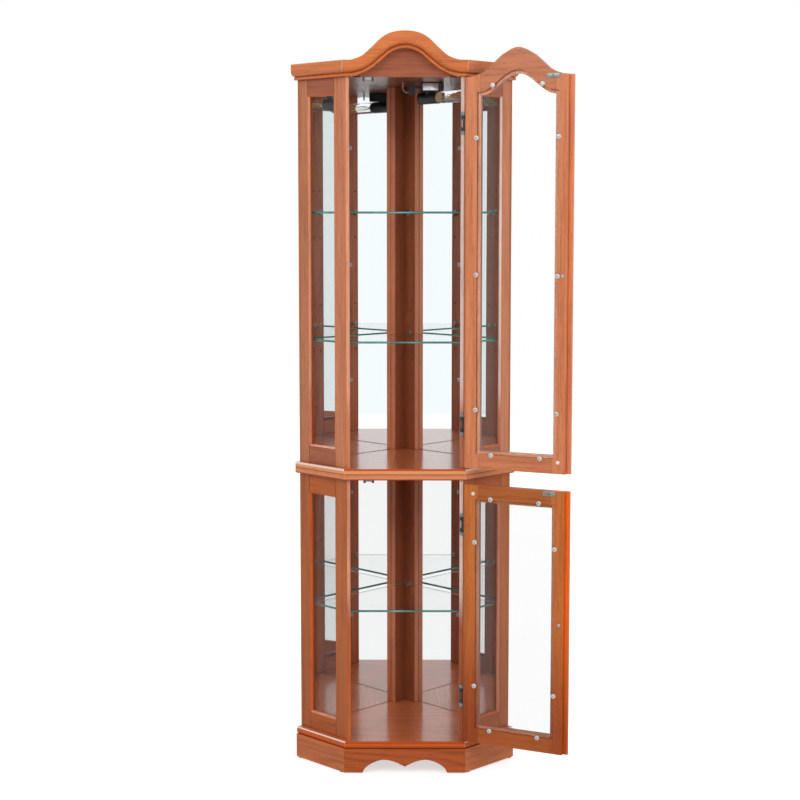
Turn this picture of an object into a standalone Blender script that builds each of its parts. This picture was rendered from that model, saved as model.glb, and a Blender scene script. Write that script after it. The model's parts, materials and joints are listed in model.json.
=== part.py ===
"""Corner display case: five-sided, mirrored back, arched head, two glazed doors.

Metres, +Z up. The origin is the underside centre of the rear glide, on the plane of
symmetry; the front faces -Y. Both doors stand open, as they turn on their hinge pins.
"""

import math

import bmesh
import bpy
import numpy as np
from mathutils import Matrix, Vector

# Overall sizes
front_width = 0.2822            # between the two front corners of the body
side_width = 0.1715             # outer face of one angled side
gap = 0.0003                    # between pieces that touch
overrun = 0.004                 # how far a cutter stands out of what it cuts

# Heights above the floor
glide_height = 0.0025
bottom_board_low = 0.0620
bottom_board_thickness = 0.0175
middle_board_low = 0.7285
middle_board_thickness = 0.0280
top_board_low = 1.6947
top_board_thickness = 0.0180

# Overhang of the mouldings past the body
plinth_overhang = 0.0167
board_overhang = 0.0150
cornice_overhang = 0.0220

# Plinth
plinth_thickness = 0.0160
scallop_foot = 0.0371           # flat stretch between the scallop and the front corner
scallop_height = 0.0350
scallop_cusp_height = 0.0180
scallop_crown_share = 0.50      # where the scallop is highest, from the centre
scallop_power = 1.6             # squareness of its outer shoulder
scallop_steps = 12
corner_block_width = 0.0450
glide_radius = 0.0070
glide_inset = 0.0090            # from the ends of the side plinths

# Edges of the bottom and middle boards; only the middle one carries a groove
bottom_edge_round = 0.0056
middle_edge_round = 0.0022
groove_depth = 0.0012
groove_width = 0.0024
round_steps = 3

# Arch of the head. A curve is a rise and a table of (place, drop) shares: the place along
# its half span, from the centre, and the drop below its crown.
arch_rise = 0.0656              # lower edge of the cornice
arch_foot = 0.0051              # level stretch from its end to the front corner
arch_shares = (
    (0.00, 0.00), (0.246, 0.14), (0.412, 0.43), (0.577, 0.70), (0.743, 0.885), (0.91, 0.975),
    (1.00, 1.00),
)
crest_rise = 0.0682             # upper edge of the cornice
crest_foot = 0.0091
crest_shares = (
    (0.00, 0.00), (0.255, 0.07), (0.426, 0.25), (0.596, 0.56), (0.767, 0.85), (0.937, 0.98),
    (1.00, 1.00),
)
door_arch_rise = 0.0657         # top edge of the upper door
door_arch_foot = 0.0101
door_arch_shares = (
    (0.00, 0.00), (0.279, 0.23), (0.427, 0.47), (0.611, 0.785), (0.763, 0.922),
    (0.901, 0.988), (1.00, 1.00),
)
arch_steps = 44
cornice_height = 0.0381
cornice_profile_shares = (      # outwards and upwards, as shares of overhang and height
    (0.44, 0.00), (0.51, 0.02), (0.54, 0.07), (0.54, 0.13), (0.50, 0.18), (0.47, 0.20),
    (0.64, 0.235), (0.80, 0.285), (0.92, 0.35), (0.98, 0.42), (1.00, 0.50), (1.00, 0.93),
    (0.96, 0.985), (0.88, 1.00),
)
header_foot = 0.0330            # from the end of the header panel to the front corner
header_thickness = 0.0180
header_cover_share = 0.70       # how much of the cornice the header panel stands behind

# Side frames
frame_thickness = 0.0180
strip_width = 0.0080            # front-facing edge of the front stile
front_stile_width = 0.0415
rear_stile_width = 0.0360       # measured from the outer face of the back wall
upper_rail_widths = (0.0420, 0.0380)    # bottom, top
lower_rail_widths = (0.0420, 0.0450)
opening_bevel = 0.0040
glass_seat_depth = 0.0110       # from the outer face of a side frame
rabbet_width = 0.0080
glass_thickness = 0.0030
glass_edge_clearance = 0.0012
joint_line_width = 0.0007
joint_line_depth = 0.0007

# Back walls
back_board_thickness = 0.0065
mirror_thickness = 0.0040
post_arm = 0.0355               # visible width of one arm of the corner post
post_thickness = 0.0160
post_edge_round = 0.0015

# Shelves and their pins
shelf_tops = {"upper": (1.3765, 1.0625), "lower": (0.3985,)}
shelf_thickness = 0.0050
shelf_setback = 0.0300          # front edge behind the front of the case
shelf_side_clearance = 0.0025
shelf_edge_round = 0.0006
shelf_lift = 0.0500
pin_radius = 0.0025
pin_reach = 0.0090
pin_sides = 12
peg_pitch = 0.0640
peg_hole_radius = 0.0026
peg_hole_depth = 0.0090
post_peg_offset = 0.0190        # from the inner corner of the post
stile_peg_offset = 0.0200       # from the edge of the glass rabbet

# Doors, described as they stand when closed
door_side_clearance = 0.0045    # inner part to the edge of the opening
door_lip = 0.0069
door_free_lip = 0.0108          # on the side of the knob
door_lip_thickness = 0.0080
door_inner_thickness = 0.0090
door_face_gap = 0.0018          # lip to the front of the case, filled by the hinge leaf
door_stile = 0.0355
door_rabbet_width = 0.0080
door_glass_seat = 0.0062        # rabbet depth from the inner face
door_end_gap = 0.0040           # to the board below
lower_door_head_gap = 0.0085
arch_gap = 0.0030               # upper door to the cornice
upper_door_rails = (0.0435, 0.0436)     # bottom, top at the shoulder
lower_door_rails = (0.0440, 0.0415)
inner_arch_rise = 0.0489
upper_door_angle = math.radians(155.4)
lower_door_angle = math.radians(154.6)

# Hinges
hinge_height = 0.0540
hinge_rim = 0.0010              # beside the window of the frame leaf
knuckle_radius = 0.0026
pin_clearance = 0.0001
hinge_pin_radius = 0.00125
leaf_thickness = 0.0012
hinge_sides = 24
pivot_forward = 0.0044          # pin in front of the body
pivot_outward = 0.0044          # pin outside the edge of the lip
leaf_end_share = 0.58           # end of the frame leaf before the pin, in pivot distances
hinge_heights = {"upper": (0.8640, 1.5850), "lower": (0.1930, 0.6190)}

# Knobs
knob_heights = {"upper": 1.2265, "lower": 0.3990}
knob_from_edge = 0.0204
knob_length = 0.0230
knob_radius = 0.0120
knob_sides = 24
knob_profile_shares = (         # radius and distance from the door, as shares
    (0.80, 0.00), (0.80, 0.06), (0.66, 0.12), (0.40, 0.18), (0.36, 0.34), (0.46, 0.46),
    (0.82, 0.54), (0.97, 0.64), (1.00, 0.74), (0.94, 0.85), (0.74, 0.94), (0.40, 0.985),
)

# Magnetic catches
catch_width = 0.0260
catch_depth = 0.0150
catch_height = 0.0095
catch_from_corner = 0.0531      # its middle to the front corner
strike_allowance = 0.0011       # strike plate on the door, between it and the catch
catch_lug_share = 0.22
catch_step_share = 0.35

# Lamp: a bulb holder along the right wall, under a housing that faces the front
lamp_wall_distance = 0.0879     # its axis from the mirror
lamp_along_wall = 0.2175        # rim of the holder, from the corner of the walls
lamp_drop = 0.0379              # axis below the top board
holder_radius = 0.0150
holder_length = 0.0630
holder_bore_radius = 0.0138
holder_bore_depth = 0.0040
holder_sides = 28
housing_size = (0.0570, 0.0420, 0.0221)     # width, depth, height
housing_offset = (0.0057, 0.0)  # its centre from the middle of the holder
housing_edge = 0.0016
neck_size = (0.0200, 0.0200)
tie_bar = 0.0060                # square bar from the housing to the switch block
tie_bar_drop = 0.0110           # its axis below the top board
switch_block_size = (0.0160, 0.0140, 0.0265)
switch_block_gap = 0.0130       # from the housing
switch_block_drop = 0.0042      # its top below the top board
bulb_cap_radius = 0.0132
bulb_cap_length = 0.0060
bulb_radius = 0.0148
bulb_length = 0.1060
bulb_neck_share = 0.10
bulb_tip_share = 0.86
bulb_sides = 24
lead_radius = 0.0017
lead_route = (                  # from the top board to the side of the switch block
    (-0.0152, 0.0000), (-0.0152, -0.0050), (-0.0151, -0.0105), (-0.0146, -0.0160),
    (-0.0130, -0.0205), (-0.0100, -0.0232), (-0.0060, -0.0240), (0.0000, -0.0240),
)
lead_point_every = 2.5          # diameters between points of the lead

# Worked out from the sizes above
root_two = math.sqrt(2)
front_half = front_width / 2
wall_length = side_width + front_half * root_two
scallop_half_width = front_half - scallop_foot
arch_half_span = front_half - arch_foot
crest_half_span = front_half - crest_foot
door_arch_half_span = front_half - door_arch_foot
header_half = front_half - header_foot
opening_half = front_half - strip_width
case_depth = (wall_length + side_width) / root_two
wall_inner = back_board_thickness + gap
mirror_face = wall_inner + mirror_thickness
corner_y = (wall_inner + gap + corner_block_width / 2) * root_two
front_y = corner_y - case_depth
mitre = math.tan(math.radians(22.5))
base_low = glide_height + gap
door_front_y = front_y - door_face_gap - door_lip_thickness
door_lip_back_y = front_y - door_face_gap
door_back_y = door_lip_back_y + door_inner_thickness
door_inner_half = opening_half - door_side_clearance
door_lip_half = door_inner_half + door_lip
door_free_half = door_lip_half - door_free_lip
door_open_half = door_inner_half - door_stile
header_front_y = door_back_y + 2 * gap
pivot_x = door_lip_half + pivot_outward
pivot_y = front_y - pivot_forward


# Materials

def material(name, color, roughness, metallic=0.0, transmission=0.0):
    made = bpy.data.materials.new(name)
    made.use_nodes = True
    shader = made.node_tree.nodes["Principled BSDF"]
    shader.inputs["Base Color"].default_value = (*color, 1.0)
    shader.inputs["Roughness"].default_value = roughness
    shader.inputs["Metallic"].default_value = metallic
    shader.inputs["Transmission Weight"].default_value = transmission
    made.diffuse_color = (*color, 1.0)
    return made


def materials():
    return {
        "wood": material("stained_wood", (0.46, 0.17, 0.075), 0.38),
        "moulding": material("moulding_wood", (0.60, 0.20, 0.06), 0.32),
        "dark_wood": material("inner_wood", (0.17, 0.055, 0.022), 0.45),
        "board": material("back_board", (0.30, 0.18, 0.10), 0.70),
        "glass": material("clear_glass", (0.90, 0.97, 0.95), 0.03, 0.0, 0.9),
        "mirror": material("mirror_glass", (0.92, 0.93, 0.93), 0.02, 1.0),
        "steel": material("nickel_steel", (0.62, 0.60, 0.56), 0.30, 1.0),
        "brass": material("aged_brass", (0.62, 0.46, 0.20), 0.32, 1.0),
        "black": material("black_plastic", (0.02, 0.02, 0.022), 0.42),
        "lead": material("clear_lead", (0.45, 0.42, 0.40), 0.45),
    }


# Building tools

def empty_scene():
    for old in list(bpy.data.objects):
        bpy.data.objects.remove(old, do_unlink=True)


def as_object(name, bm, pivot=None):
    bmesh.ops.recalc_face_normals(bm, faces=bm.faces)
    if pivot:
        bmesh.ops.translate(bm, verts=bm.verts, vec=-pivot.location)
    mesh = bpy.data.meshes.new(name)
    bm.to_mesh(mesh)
    bm.free()
    obj = bpy.data.objects.new(name, mesh)
    bpy.context.scene.collection.objects.link(obj)
    obj.parent = pivot
    return obj


def piece(name, bm, finish, pivot=None, smooth=None):
    """A node of the case. smooth is the angle in degrees under which edges are shaded soft."""
    obj = as_object(name, bm, pivot)
    obj.data.materials.append(finish)
    if smooth:
        obj.data.shade_smooth()
        obj.data.set_sharp_from_angle(angle=math.radians(smooth))
    return obj


def boolean(obj, bm, operation, label):
    tool = as_object(f"{obj.name}_{label}", bm)
    if obj.parent:
        bring = Matrix.Translation(-obj.parent.location)
        tool.data.transform(bring)
        tool.parent = obj.parent
    tool.hide_render = True
    tool.display_type = "WIRE"
    modifier = obj.modifiers.new(label, "BOOLEAN")
    modifier.operation = operation
    modifier.solver = "EXACT"
    modifier.object = tool
    return obj


def cut(obj, bm, label):
    return boolean(obj, bm, "DIFFERENCE", label)


def join(obj, bm, label):
    return boolean(obj, bm, "UNION", label)


def loft(rings):
    """A closed solid through rings of equally many points."""
    bm = bmesh.new()
    made = [[bm.verts.new(point) for point in ring] for ring in rings]
    count = len(made[0])
    for low, high in zip(made, made[1:]):
        for i in range(count):
            j = (i + 1) % count
            bm.faces.new((low[i], low[j], high[j], high[i]))
    bm.faces.new(made[0])
    bm.faces.new(made[-1])
    return bm


def prism(outline, low, high):
    """An outline in plan, between two heights."""
    return loft([[(x, y, z) for x, y in outline] for z in (low, high)])


def slab(outline, front, back):
    """An outline in front view, between two depths."""
    return loft([[(x, y, z) for x, z in outline] for y in (front, back)])


def block(low, high):
    bm = bmesh.new()
    bmesh.ops.create_cube(bm, size=1.0)
    low, high = Vector(low), Vector(high)
    bmesh.ops.scale(bm, verts=bm.verts, vec=high - low)
    bmesh.ops.translate(bm, verts=bm.verts, vec=(low + high) / 2)
    return bm


def turned(profile, sides, start, direction):
    """A profile of (radius, distance) pairs turned round a line."""
    turn = Vector(direction).normalized().to_track_quat("Z", "Y").to_matrix().to_4x4()
    place = Matrix.Translation(Vector(start)) @ turn
    rings = [
        [
            place @ Vector((
                radius * math.cos(2 * math.pi * i / sides),
                radius * math.sin(2 * math.pi * i / sides),
                distance,
            ))
            for i in range(sides)
        ]
        for radius, distance in profile
    ]
    return loft(rings)


def rod(radius, start, end, sides):
    along = Vector(end) - Vector(start)
    return turned(((radius, 0.0), (radius, along.length)), sides, start, along)


def together(parts):
    """Several closed shapes as one tool; none of them touches another."""
    bm = bmesh.new()
    for part in parts:
        mesh = bpy.data.meshes.new("part")
        part.to_mesh(mesh)
        part.free()
        bm.from_mesh(mesh)
        bpy.data.meshes.remove(mesh)
    return bm


def flipped(bm):
    """The mirror image across the plane of symmetry."""
    bmesh.ops.scale(bm, verts=bm.verts, vec=(-1.0, 1.0, 1.0))
    bmesh.ops.reverse_faces(bm, faces=bm.faces)
    return bm


# Places on the five-sided plan

def on_side(along, inward):
    """A point of the right side, from its front corner and its outer face."""
    return (
        front_half + (along - inward) / root_two,
        front_y + (along + inward) / root_two,
    )


def on_wall(along, inward):
    """A point of the right back wall, from the back corner and its outer face."""
    return ((along - inward) / root_two, corner_y - (along + inward) / root_two)


def wall_vector(along, inward):
    return Vector(((along - inward) / root_two, -(along + inward) / root_two, 0.0))


def both_halves(right_half):
    """A closed outline from its right half, which starts at the front."""
    left_half = [(-x, y) for x, y in reversed(right_half) if x > gap / 2]
    return [*right_half, *left_half]


# The arch of the head

def along_shares(shares, place):
    """A smooth curve through a table of (place, value) shares, level at both its ends."""
    slopes = [0.0]
    for before, after in zip(shares, shares[2:]):
        slopes.append((after[1] - before[1]) / (after[0] - before[0]))
    slopes.append(0.0)
    place = min(max(place, 0.0), 1.0)
    index = sum(1 for share in shares[1:-1] if place > share[0])
    (x0, y0), (x1, y1) = shares[index], shares[index + 1]
    width = x1 - x0
    t = (place - x0) / width
    return (
        y0 * (1 + 2 * t) * (1 - t) ** 2 + y1 * (3 - 2 * t) * t**2
        + width * t * (1 - t) * (slopes[index] * (1 - t) - slopes[index + 1] * t)
    )


def arch(shoulder, rise, half_span, shares, x):
    return shoulder + rise * (1 - along_shares(shares, abs(x) / half_span))


def arch_height(x):
    """Lower edge of the cornice."""
    return arch(top_board_low, arch_rise, arch_half_span, arch_shares, x)


def crest_height(x):
    """Upper edge of the cornice."""
    shoulder = top_board_low + cornice_height
    return arch(shoulder, crest_rise, crest_half_span, crest_shares, x)


def cornice_level(x, up):
    """A height on the cornice, as a share of the way from its lower to its upper edge."""
    return arch_height(x) + up * (crest_height(x) - arch_height(x))


def wave(x, half_span):
    return 0.5 * (1 + math.cos(math.pi * min(abs(x) / half_span, 1.0)))


def raised(curve, x, distance):
    """The curve moved outwards by a distance, square to itself."""
    if distance <= 0:
        return curve(x)
    near = np.linspace(-1.0, 1.0, 2 * arch_steps + 1) * distance
    return max(curve(x + step) + math.sqrt(max(distance**2 - step**2, 0.0)) for step in near)


def spread(start, end, steps):
    return [start + (end - start) * i / steps for i in range(steps + 1)]


# Base

def scallop_height_at(x):
    crown = scallop_crown_share * scallop_half_width
    x = min(abs(x), scallop_half_width)
    if x < crown:
        rise = scallop_height - scallop_cusp_height
        return scallop_cusp_height + rise * math.sin(0.5 * math.pi * x / crown)
    share = (x - crown) / (scallop_half_width - crown)
    rest = max(1 - share**scallop_power, 0.0) ** (1 / scallop_power)
    return base_low + (scallop_height - base_low) * rest


def plinth_corner(out):
    return front_half + out * mitre


def make_plinth(finish):
    high = bottom_board_low - gap
    outer, inner = plinth_overhang, plinth_overhang - plinth_thickness
    front = [
        (-plinth_corner(outer) + gap, front_y - outer),
        (plinth_corner(outer) - gap, front_y - outer),
        (plinth_corner(inner) - gap, front_y - inner),
        (-plinth_corner(inner) + gap, front_y - inner),
    ]
    board = piece("plinth_front", prism(front, base_low, high), finish)
    across = spread(-scallop_half_width, scallop_half_width, 4 * scallop_steps)
    edge = [(x, scallop_height_at(x)) for x in across]
    edge = [(x, max(z, base_low)) for x, z in edge]
    under = [(across[-1], base_low - overrun), (across[0], base_low - overrun)]
    cut(board, slab([*edge, *under], front_y - outer - overrun, front_y - inner + overrun), "scallop")

    side = [
        on_side(-outer * mitre + gap, -outer),
        on_side(side_width, -outer),
        on_side(side_width, -inner),
        on_side(-inner * mitre + gap, -inner),
    ]
    piece("plinth_right", prism(side, base_low, high), finish)
    piece("plinth_left", flipped(prism(side, base_low, high)), finish)


def make_corner_block(finish):
    far = wall_inner + gap + corner_block_width
    near = wall_inner + gap
    right = [(0.0, on_wall(far, far)[1]), on_wall(far, near), (0.0, on_wall(near, near)[1])]
    outline = [right[0], right[1], right[2], (-right[1][0], right[1][1])]
    piece("rear_corner_block", prism(outline, base_low, bottom_board_low - gap), finish)


def make_glides(finish):
    middle = plinth_overhang - plinth_thickness / 2
    places = {
        "front_right": on_side(glide_inset, -middle),
        "rear_right": on_side(side_width - glide_inset, -middle),
        "rear_centre": (0.0, 0.0),
    }
    for name in ("front", "rear"):
        x, y = places[f"{name}_right"]
        places[f"{name}_left"] = (-x, y)
    for name, (x, y) in places.items():
        profile = (
            (glide_radius * 0.86, 0.0),
            (glide_radius, glide_height * 0.4),
            (glide_radius, glide_height),
        )
        shape = turned(profile, pin_sides, (x, y, 0.0), (0, 0, 1))
        piece(f"glide_{name}", shape, finish, smooth=40)


# Boards

def board_outline(out):
    """The case in plan, moved out on its front and sides and cut back for the back boards."""
    return both_halves([
        (front_half + out * mitre, front_y - out),
        on_side(side_width, -out),
        on_side(side_width, -gap),
        on_side(side_width - wall_inner - gap, -gap),
        (0.0, on_wall(wall_inner + gap, wall_inner + gap)[1]),
    ])


def moulded_board(low, thickness, round_over, grooved):
    """A board whose front and side edges are rounded and can carry one groove."""
    out = board_overhang
    levels = []
    for i in range(round_steps + 1):
        turn = 0.5 * math.pi * i / round_steps
        levels.append((round_over * (1 - math.cos(turn)), out - round_over * (1 - math.sin(turn))))
    groove = []
    if grooved:
        levels.append((thickness / 2 - groove_width / 2, out))
        groove = [(thickness / 2, out - groove_depth)]
    levels += groove + [(thickness - height, share) for height, share in reversed(levels)]
    return loft([
        [(x, y, low + height) for x, y in board_outline(share)] for height, share in levels
    ])


def make_boards(wood, dark):
    for name, *shape in (
        ("bottom_board", bottom_board_low, bottom_board_thickness, bottom_edge_round, False),
        ("middle_board", middle_board_low, middle_board_thickness, middle_edge_round, True),
    ):
        piece(name, moulded_board(*shape), wood, smooth=35)
    header_back = header_front_y + header_thickness + gap
    edge = front_half + header_back - front_y - 2 * gap
    outline = both_halves([
        (edge, header_back),
        on_side(side_width - wall_inner - gap, gap),
        (0.0, on_wall(wall_inner + gap, wall_inner + gap)[1]),
    ])
    piece("top_board", prism(outline, top_board_low, top_board_low + top_board_thickness), dark)


# Head

def cornice_profile(inner):
    """Outward distances and shares of the height, closed along the back at the inner distance."""
    profile = [(across * cornice_overhang, up) for across, up in cornice_profile_shares]
    return [(inner, 0.0), *profile, (inner, 1.0)]


def make_cornice(finish):
    profile = cornice_profile(front_y - header_front_y + gap)
    inside = spread(-arch_half_span, arch_half_span, arch_steps)
    columns = [None, *inside, None]
    rings = []
    for index, x in enumerate(columns):
        ring = []
        for out, up in profile:
            end = plinth_corner(out) - gap
            place = x if x is not None else (end if index else -end)
            ring.append((place, front_y - out, cornice_level(place, up)))
        rings.append(ring)
    piece("cornice_front", loft(rings), finish, smooth=32)

    profile = cornice_profile(gap)
    rings = []
    for end in ("front", "rear"):
        ring = []
        for out, up in profile:
            along = -out * mitre + gap if end == "front" else side_width
            ring.append((*on_side(along, -out), top_board_low + up * cornice_height))
        rings.append(ring)
    piece("cornice_right", loft(rings), finish, smooth=32)
    piece("cornice_left", flipped(loft(rings)), finish, smooth=32)


def make_header(finish):
    inside = spread(header_half, -header_half, arch_steps)
    top = [(x, cornice_level(x, header_cover_share)) for x in inside]
    outline = [(-header_half, top_board_low), (header_half, top_board_low), *top]
    shape = slab(outline, header_front_y, header_front_y + header_thickness)
    piece("header_panel", shape, finish)


# Sides

def side_box(t_range, inward_range, z_range):
    """A box set square to the right side."""
    outline = [
        on_side(t_range[0], inward_range[0]),
        on_side(t_range[1], inward_range[0]),
        on_side(t_range[1], inward_range[1]),
        on_side(t_range[0], inward_range[1]),
    ]
    return prism(outline, *z_range)


def frame_opening():
    return front_stile_width + opening_bevel, side_width - rear_stile_width - opening_bevel


def frame_cutter(low, high):
    """Opening of a side frame: bevelled outside, with a rabbet for the glass inside."""
    start, end = frame_opening()
    steps = (
        (-overrun, overrun + opening_bevel),
        (opening_bevel, 0.0),
        (glass_seat_depth, 0.0),
        (glass_seat_depth, rabbet_width),
        (frame_thickness + overrun, rabbet_width),
    )
    rings = []
    for inward, wider in steps:
        corners = (
            (start - wider, low - wider), (end + wider, low - wider),
            (end + wider, high + wider), (start - wider, high + wider),
        )
        rings.append([(*on_side(along, inward), z) for along, z in corners])
    return loft(rings)


def joint_lines(opening_low, opening_high, low, high):
    """Fine lines where the rails meet the stiles, on both faces."""
    lines = []
    faces = (
        (-overrun, joint_line_depth),
        (frame_thickness - joint_line_depth, frame_thickness + overrun),
    )
    half = joint_line_width / 2
    for along in (front_stile_width, side_width - rear_stile_width):
        for inward in faces:
            for z_range in ((low - overrun, opening_low), (opening_high, high + overrun)):
                lines.append(side_box((along - half, along + half), inward, z_range))
    return together(lines)


def stile_pegs():
    """Where the shelf pins stand on a side frame, measured along it."""
    start, end = frame_opening()
    return start - rabbet_width - stile_peg_offset, end + rabbet_width + stile_peg_offset / 2


def peg_heights(top):
    """Height of the pin in use, and those of the empty holes above and below it."""
    pin = top - shelf_thickness - gap - pin_radius
    return pin, (pin - peg_pitch, pin + peg_pitch)


def side_rod(radius, along, z, start, end, sides):
    from_point = (*on_side(along, start), z)
    to_point = (*on_side(along, end), z)
    return rod(radius, from_point, to_point, sides)


def make_side_frame(name, low, high, rails, tops, wood, glass):
    front_cut = strip_width / root_two
    back_cut = frame_thickness - 2 * front_cut
    rear = side_width - wall_inner - gap
    outline = [
        on_side(0.0, 0.0),
        on_side(rear, 0.0),
        on_side(rear, frame_thickness),
        on_side(back_cut, frame_thickness),
        on_side(-front_cut, front_cut),
    ]
    opening_low = low + rails[0] + opening_bevel
    opening_high = high - rails[1] - opening_bevel
    holes, pins = [], []
    for top in tops:
        pin, empty = peg_heights(top)
        for along in stile_pegs():
            start, end = frame_thickness - peg_hole_depth, frame_thickness + overrun
            for z in empty:
                holes.append((peg_hole_radius, along, z, start, end, pin_sides))
            start, end = frame_thickness - overrun, frame_thickness + pin_reach
            pins.append((pin_radius, along, pin, start, end, pin_sides))
    start, end = frame_opening()
    reach = rabbet_width - glass_edge_clearance
    seat = glass_seat_depth + gap
    pane = (
        (start - reach, end + reach),
        (seat, seat + glass_thickness),
        (opening_low - reach, opening_high + reach),
    )
    for hand, turn in (("right", lambda bm: bm), ("left", flipped)):
        frame = piece(f"{name}_side_frame_{hand}", turn(prism(outline, low, high)), wood)
        cut(frame, turn(frame_cutter(opening_low, opening_high)), "opening")
        cut(frame, turn(joint_lines(opening_low, opening_high, low, high)), "joint_lines")
        cut(frame, turn(together([side_rod(*hole) for hole in holes])), "peg_holes")
        join(frame, turn(together([side_rod(*pin) for pin in pins])), "shelf_pins")
        piece(f"{name}_side_glass_{hand}", turn(side_box(*pane)), glass)


# Back

def make_back(board, mirror):
    def panel(near, far, end, low, high):
        outline = [
            on_wall(near + gap, near), on_wall(end, near), on_wall(end, far), on_wall(far + gap, far)
        ]
        return prism(outline, low, high)

    board_high = top_board_low + top_board_thickness
    board_sizes = (0.0, back_board_thickness, wall_length, base_low, board_high)
    piece("back_board_right", panel(*board_sizes), board)
    piece("back_board_left", flipped(panel(*board_sizes)), board)
    for name, low, high in compartments():
        end = wall_length - frame_thickness - gap
        sizes = (wall_inner, mirror_face, end, low + gap, high - gap)
        piece(f"{name}_mirror_right", panel(*sizes), mirror)
        piece(f"{name}_mirror_left", flipped(panel(*sizes)), mirror)


def compartments():
    return (
        ("upper", middle_board_low + middle_board_thickness, top_board_low),
        ("lower", bottom_board_low + bottom_board_thickness, middle_board_low),
    )


def make_corner_post(name, low, high, tops, finish):
    near = mirror_face + gap
    far = near + post_thickness
    end = far + post_arm
    right = [
        (0.0, on_wall(far, far)[1]),
        on_wall(end - post_edge_round, far),
        on_wall(end, far - post_edge_round),
        on_wall(end, near),
        (0.0, on_wall(near, near)[1]),
    ]
    post = piece(name, prism(both_halves(right), low + gap, high - gap), finish)
    holes, pins = [], []
    along = far + post_peg_offset

    def peg(radius, z, start, end):
        return rod(radius, (*on_wall(along, start), z), (*on_wall(along, end), z), pin_sides)

    for top in tops:
        pin, empty = peg_heights(top)
        for z in empty:
            holes.append(peg(peg_hole_radius, z, far - peg_hole_depth, far + overrun))
        pins.append(peg(pin_radius, pin, far - overrun, far + pin_reach))
    cut(post, together(holes), "peg_holes")
    join(post, together(pins), "shelf_pins")


# Shelves

def make_shelves(finish):
    front = front_y + shelf_setback
    inward = frame_thickness + shelf_side_clearance
    back = mirror_face + gap + post_thickness + shelf_side_clearance
    front_corner = front_half + shelf_setback - inward * root_two
    right = [
        (front_corner, front),
        on_wall(wall_length - inward, back),
        (0.0, on_wall(back, back)[1]),
    ]
    number = 0
    for tops in shelf_tops.values():
        for top in tops:
            number += 1
            pivot = bpy.data.objects.new(f"shelf_{number}_seat", None)
            bpy.context.scene.collection.objects.link(pivot)
            pivot.location = (0.0, front, top - shelf_thickness)
            bm = prism(both_halves(right), top - shelf_thickness, top)
            shelf = piece(f"glass_shelf_{number}", bm, finish, pivot)
            edge = shelf.modifiers.new("polished_edge", "BEVEL")
            edge.width = shelf_edge_round
            edge.segments = 1
            edge.limit_method = "ANGLE"


# Doors

def door_top(x):
    shoulder = top_board_low - arch_gap
    return arch(shoulder, door_arch_rise, door_arch_half_span, door_arch_shares, x)


def inner_arch(x):
    shoulder = top_board_low - arch_gap - upper_door_rails[1]
    return shoulder + inner_arch_rise * wave(x, door_open_half)


def flat(height):
    return lambda x: height


def stile_shape(hand, low, head, opening_low, opening_head):
    """One stile: its inner part, its lip and the rabbet for the glass."""
    inner_half = door_inner_half if hand > 0 else door_free_half
    steps = spread(door_open_half, inner_half, round_steps)
    top = [(hand * x, head(x)) for x in reversed(steps)]
    inner = [(hand * door_open_half, low), (hand * inner_half, low), *top]
    body = slab(inner, door_front_y, door_back_y)
    edge = inner_half - overrun / 2
    lip = [
        (hand * edge, low), (hand * door_lip_half, low),
        (hand * door_lip_half, head(door_lip_half)), (hand * edge, head(edge)),
    ]
    lip = slab(lip, door_front_y, door_lip_back_y)
    near = door_open_half - overrun
    far = door_open_half + door_rabbet_width
    rabbet_low = opening_low - door_rabbet_width
    rabbet_high = opening_head(door_open_half) + door_rabbet_width
    rabbet = [
        (hand * near, rabbet_low), (hand * far, rabbet_low),
        (hand * far, rabbet_high), (hand * near, rabbet_high),
    ]
    rabbet = slab(rabbet, door_back_y - door_glass_seat, door_back_y + overrun)
    return body, lip, rabbet


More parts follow.
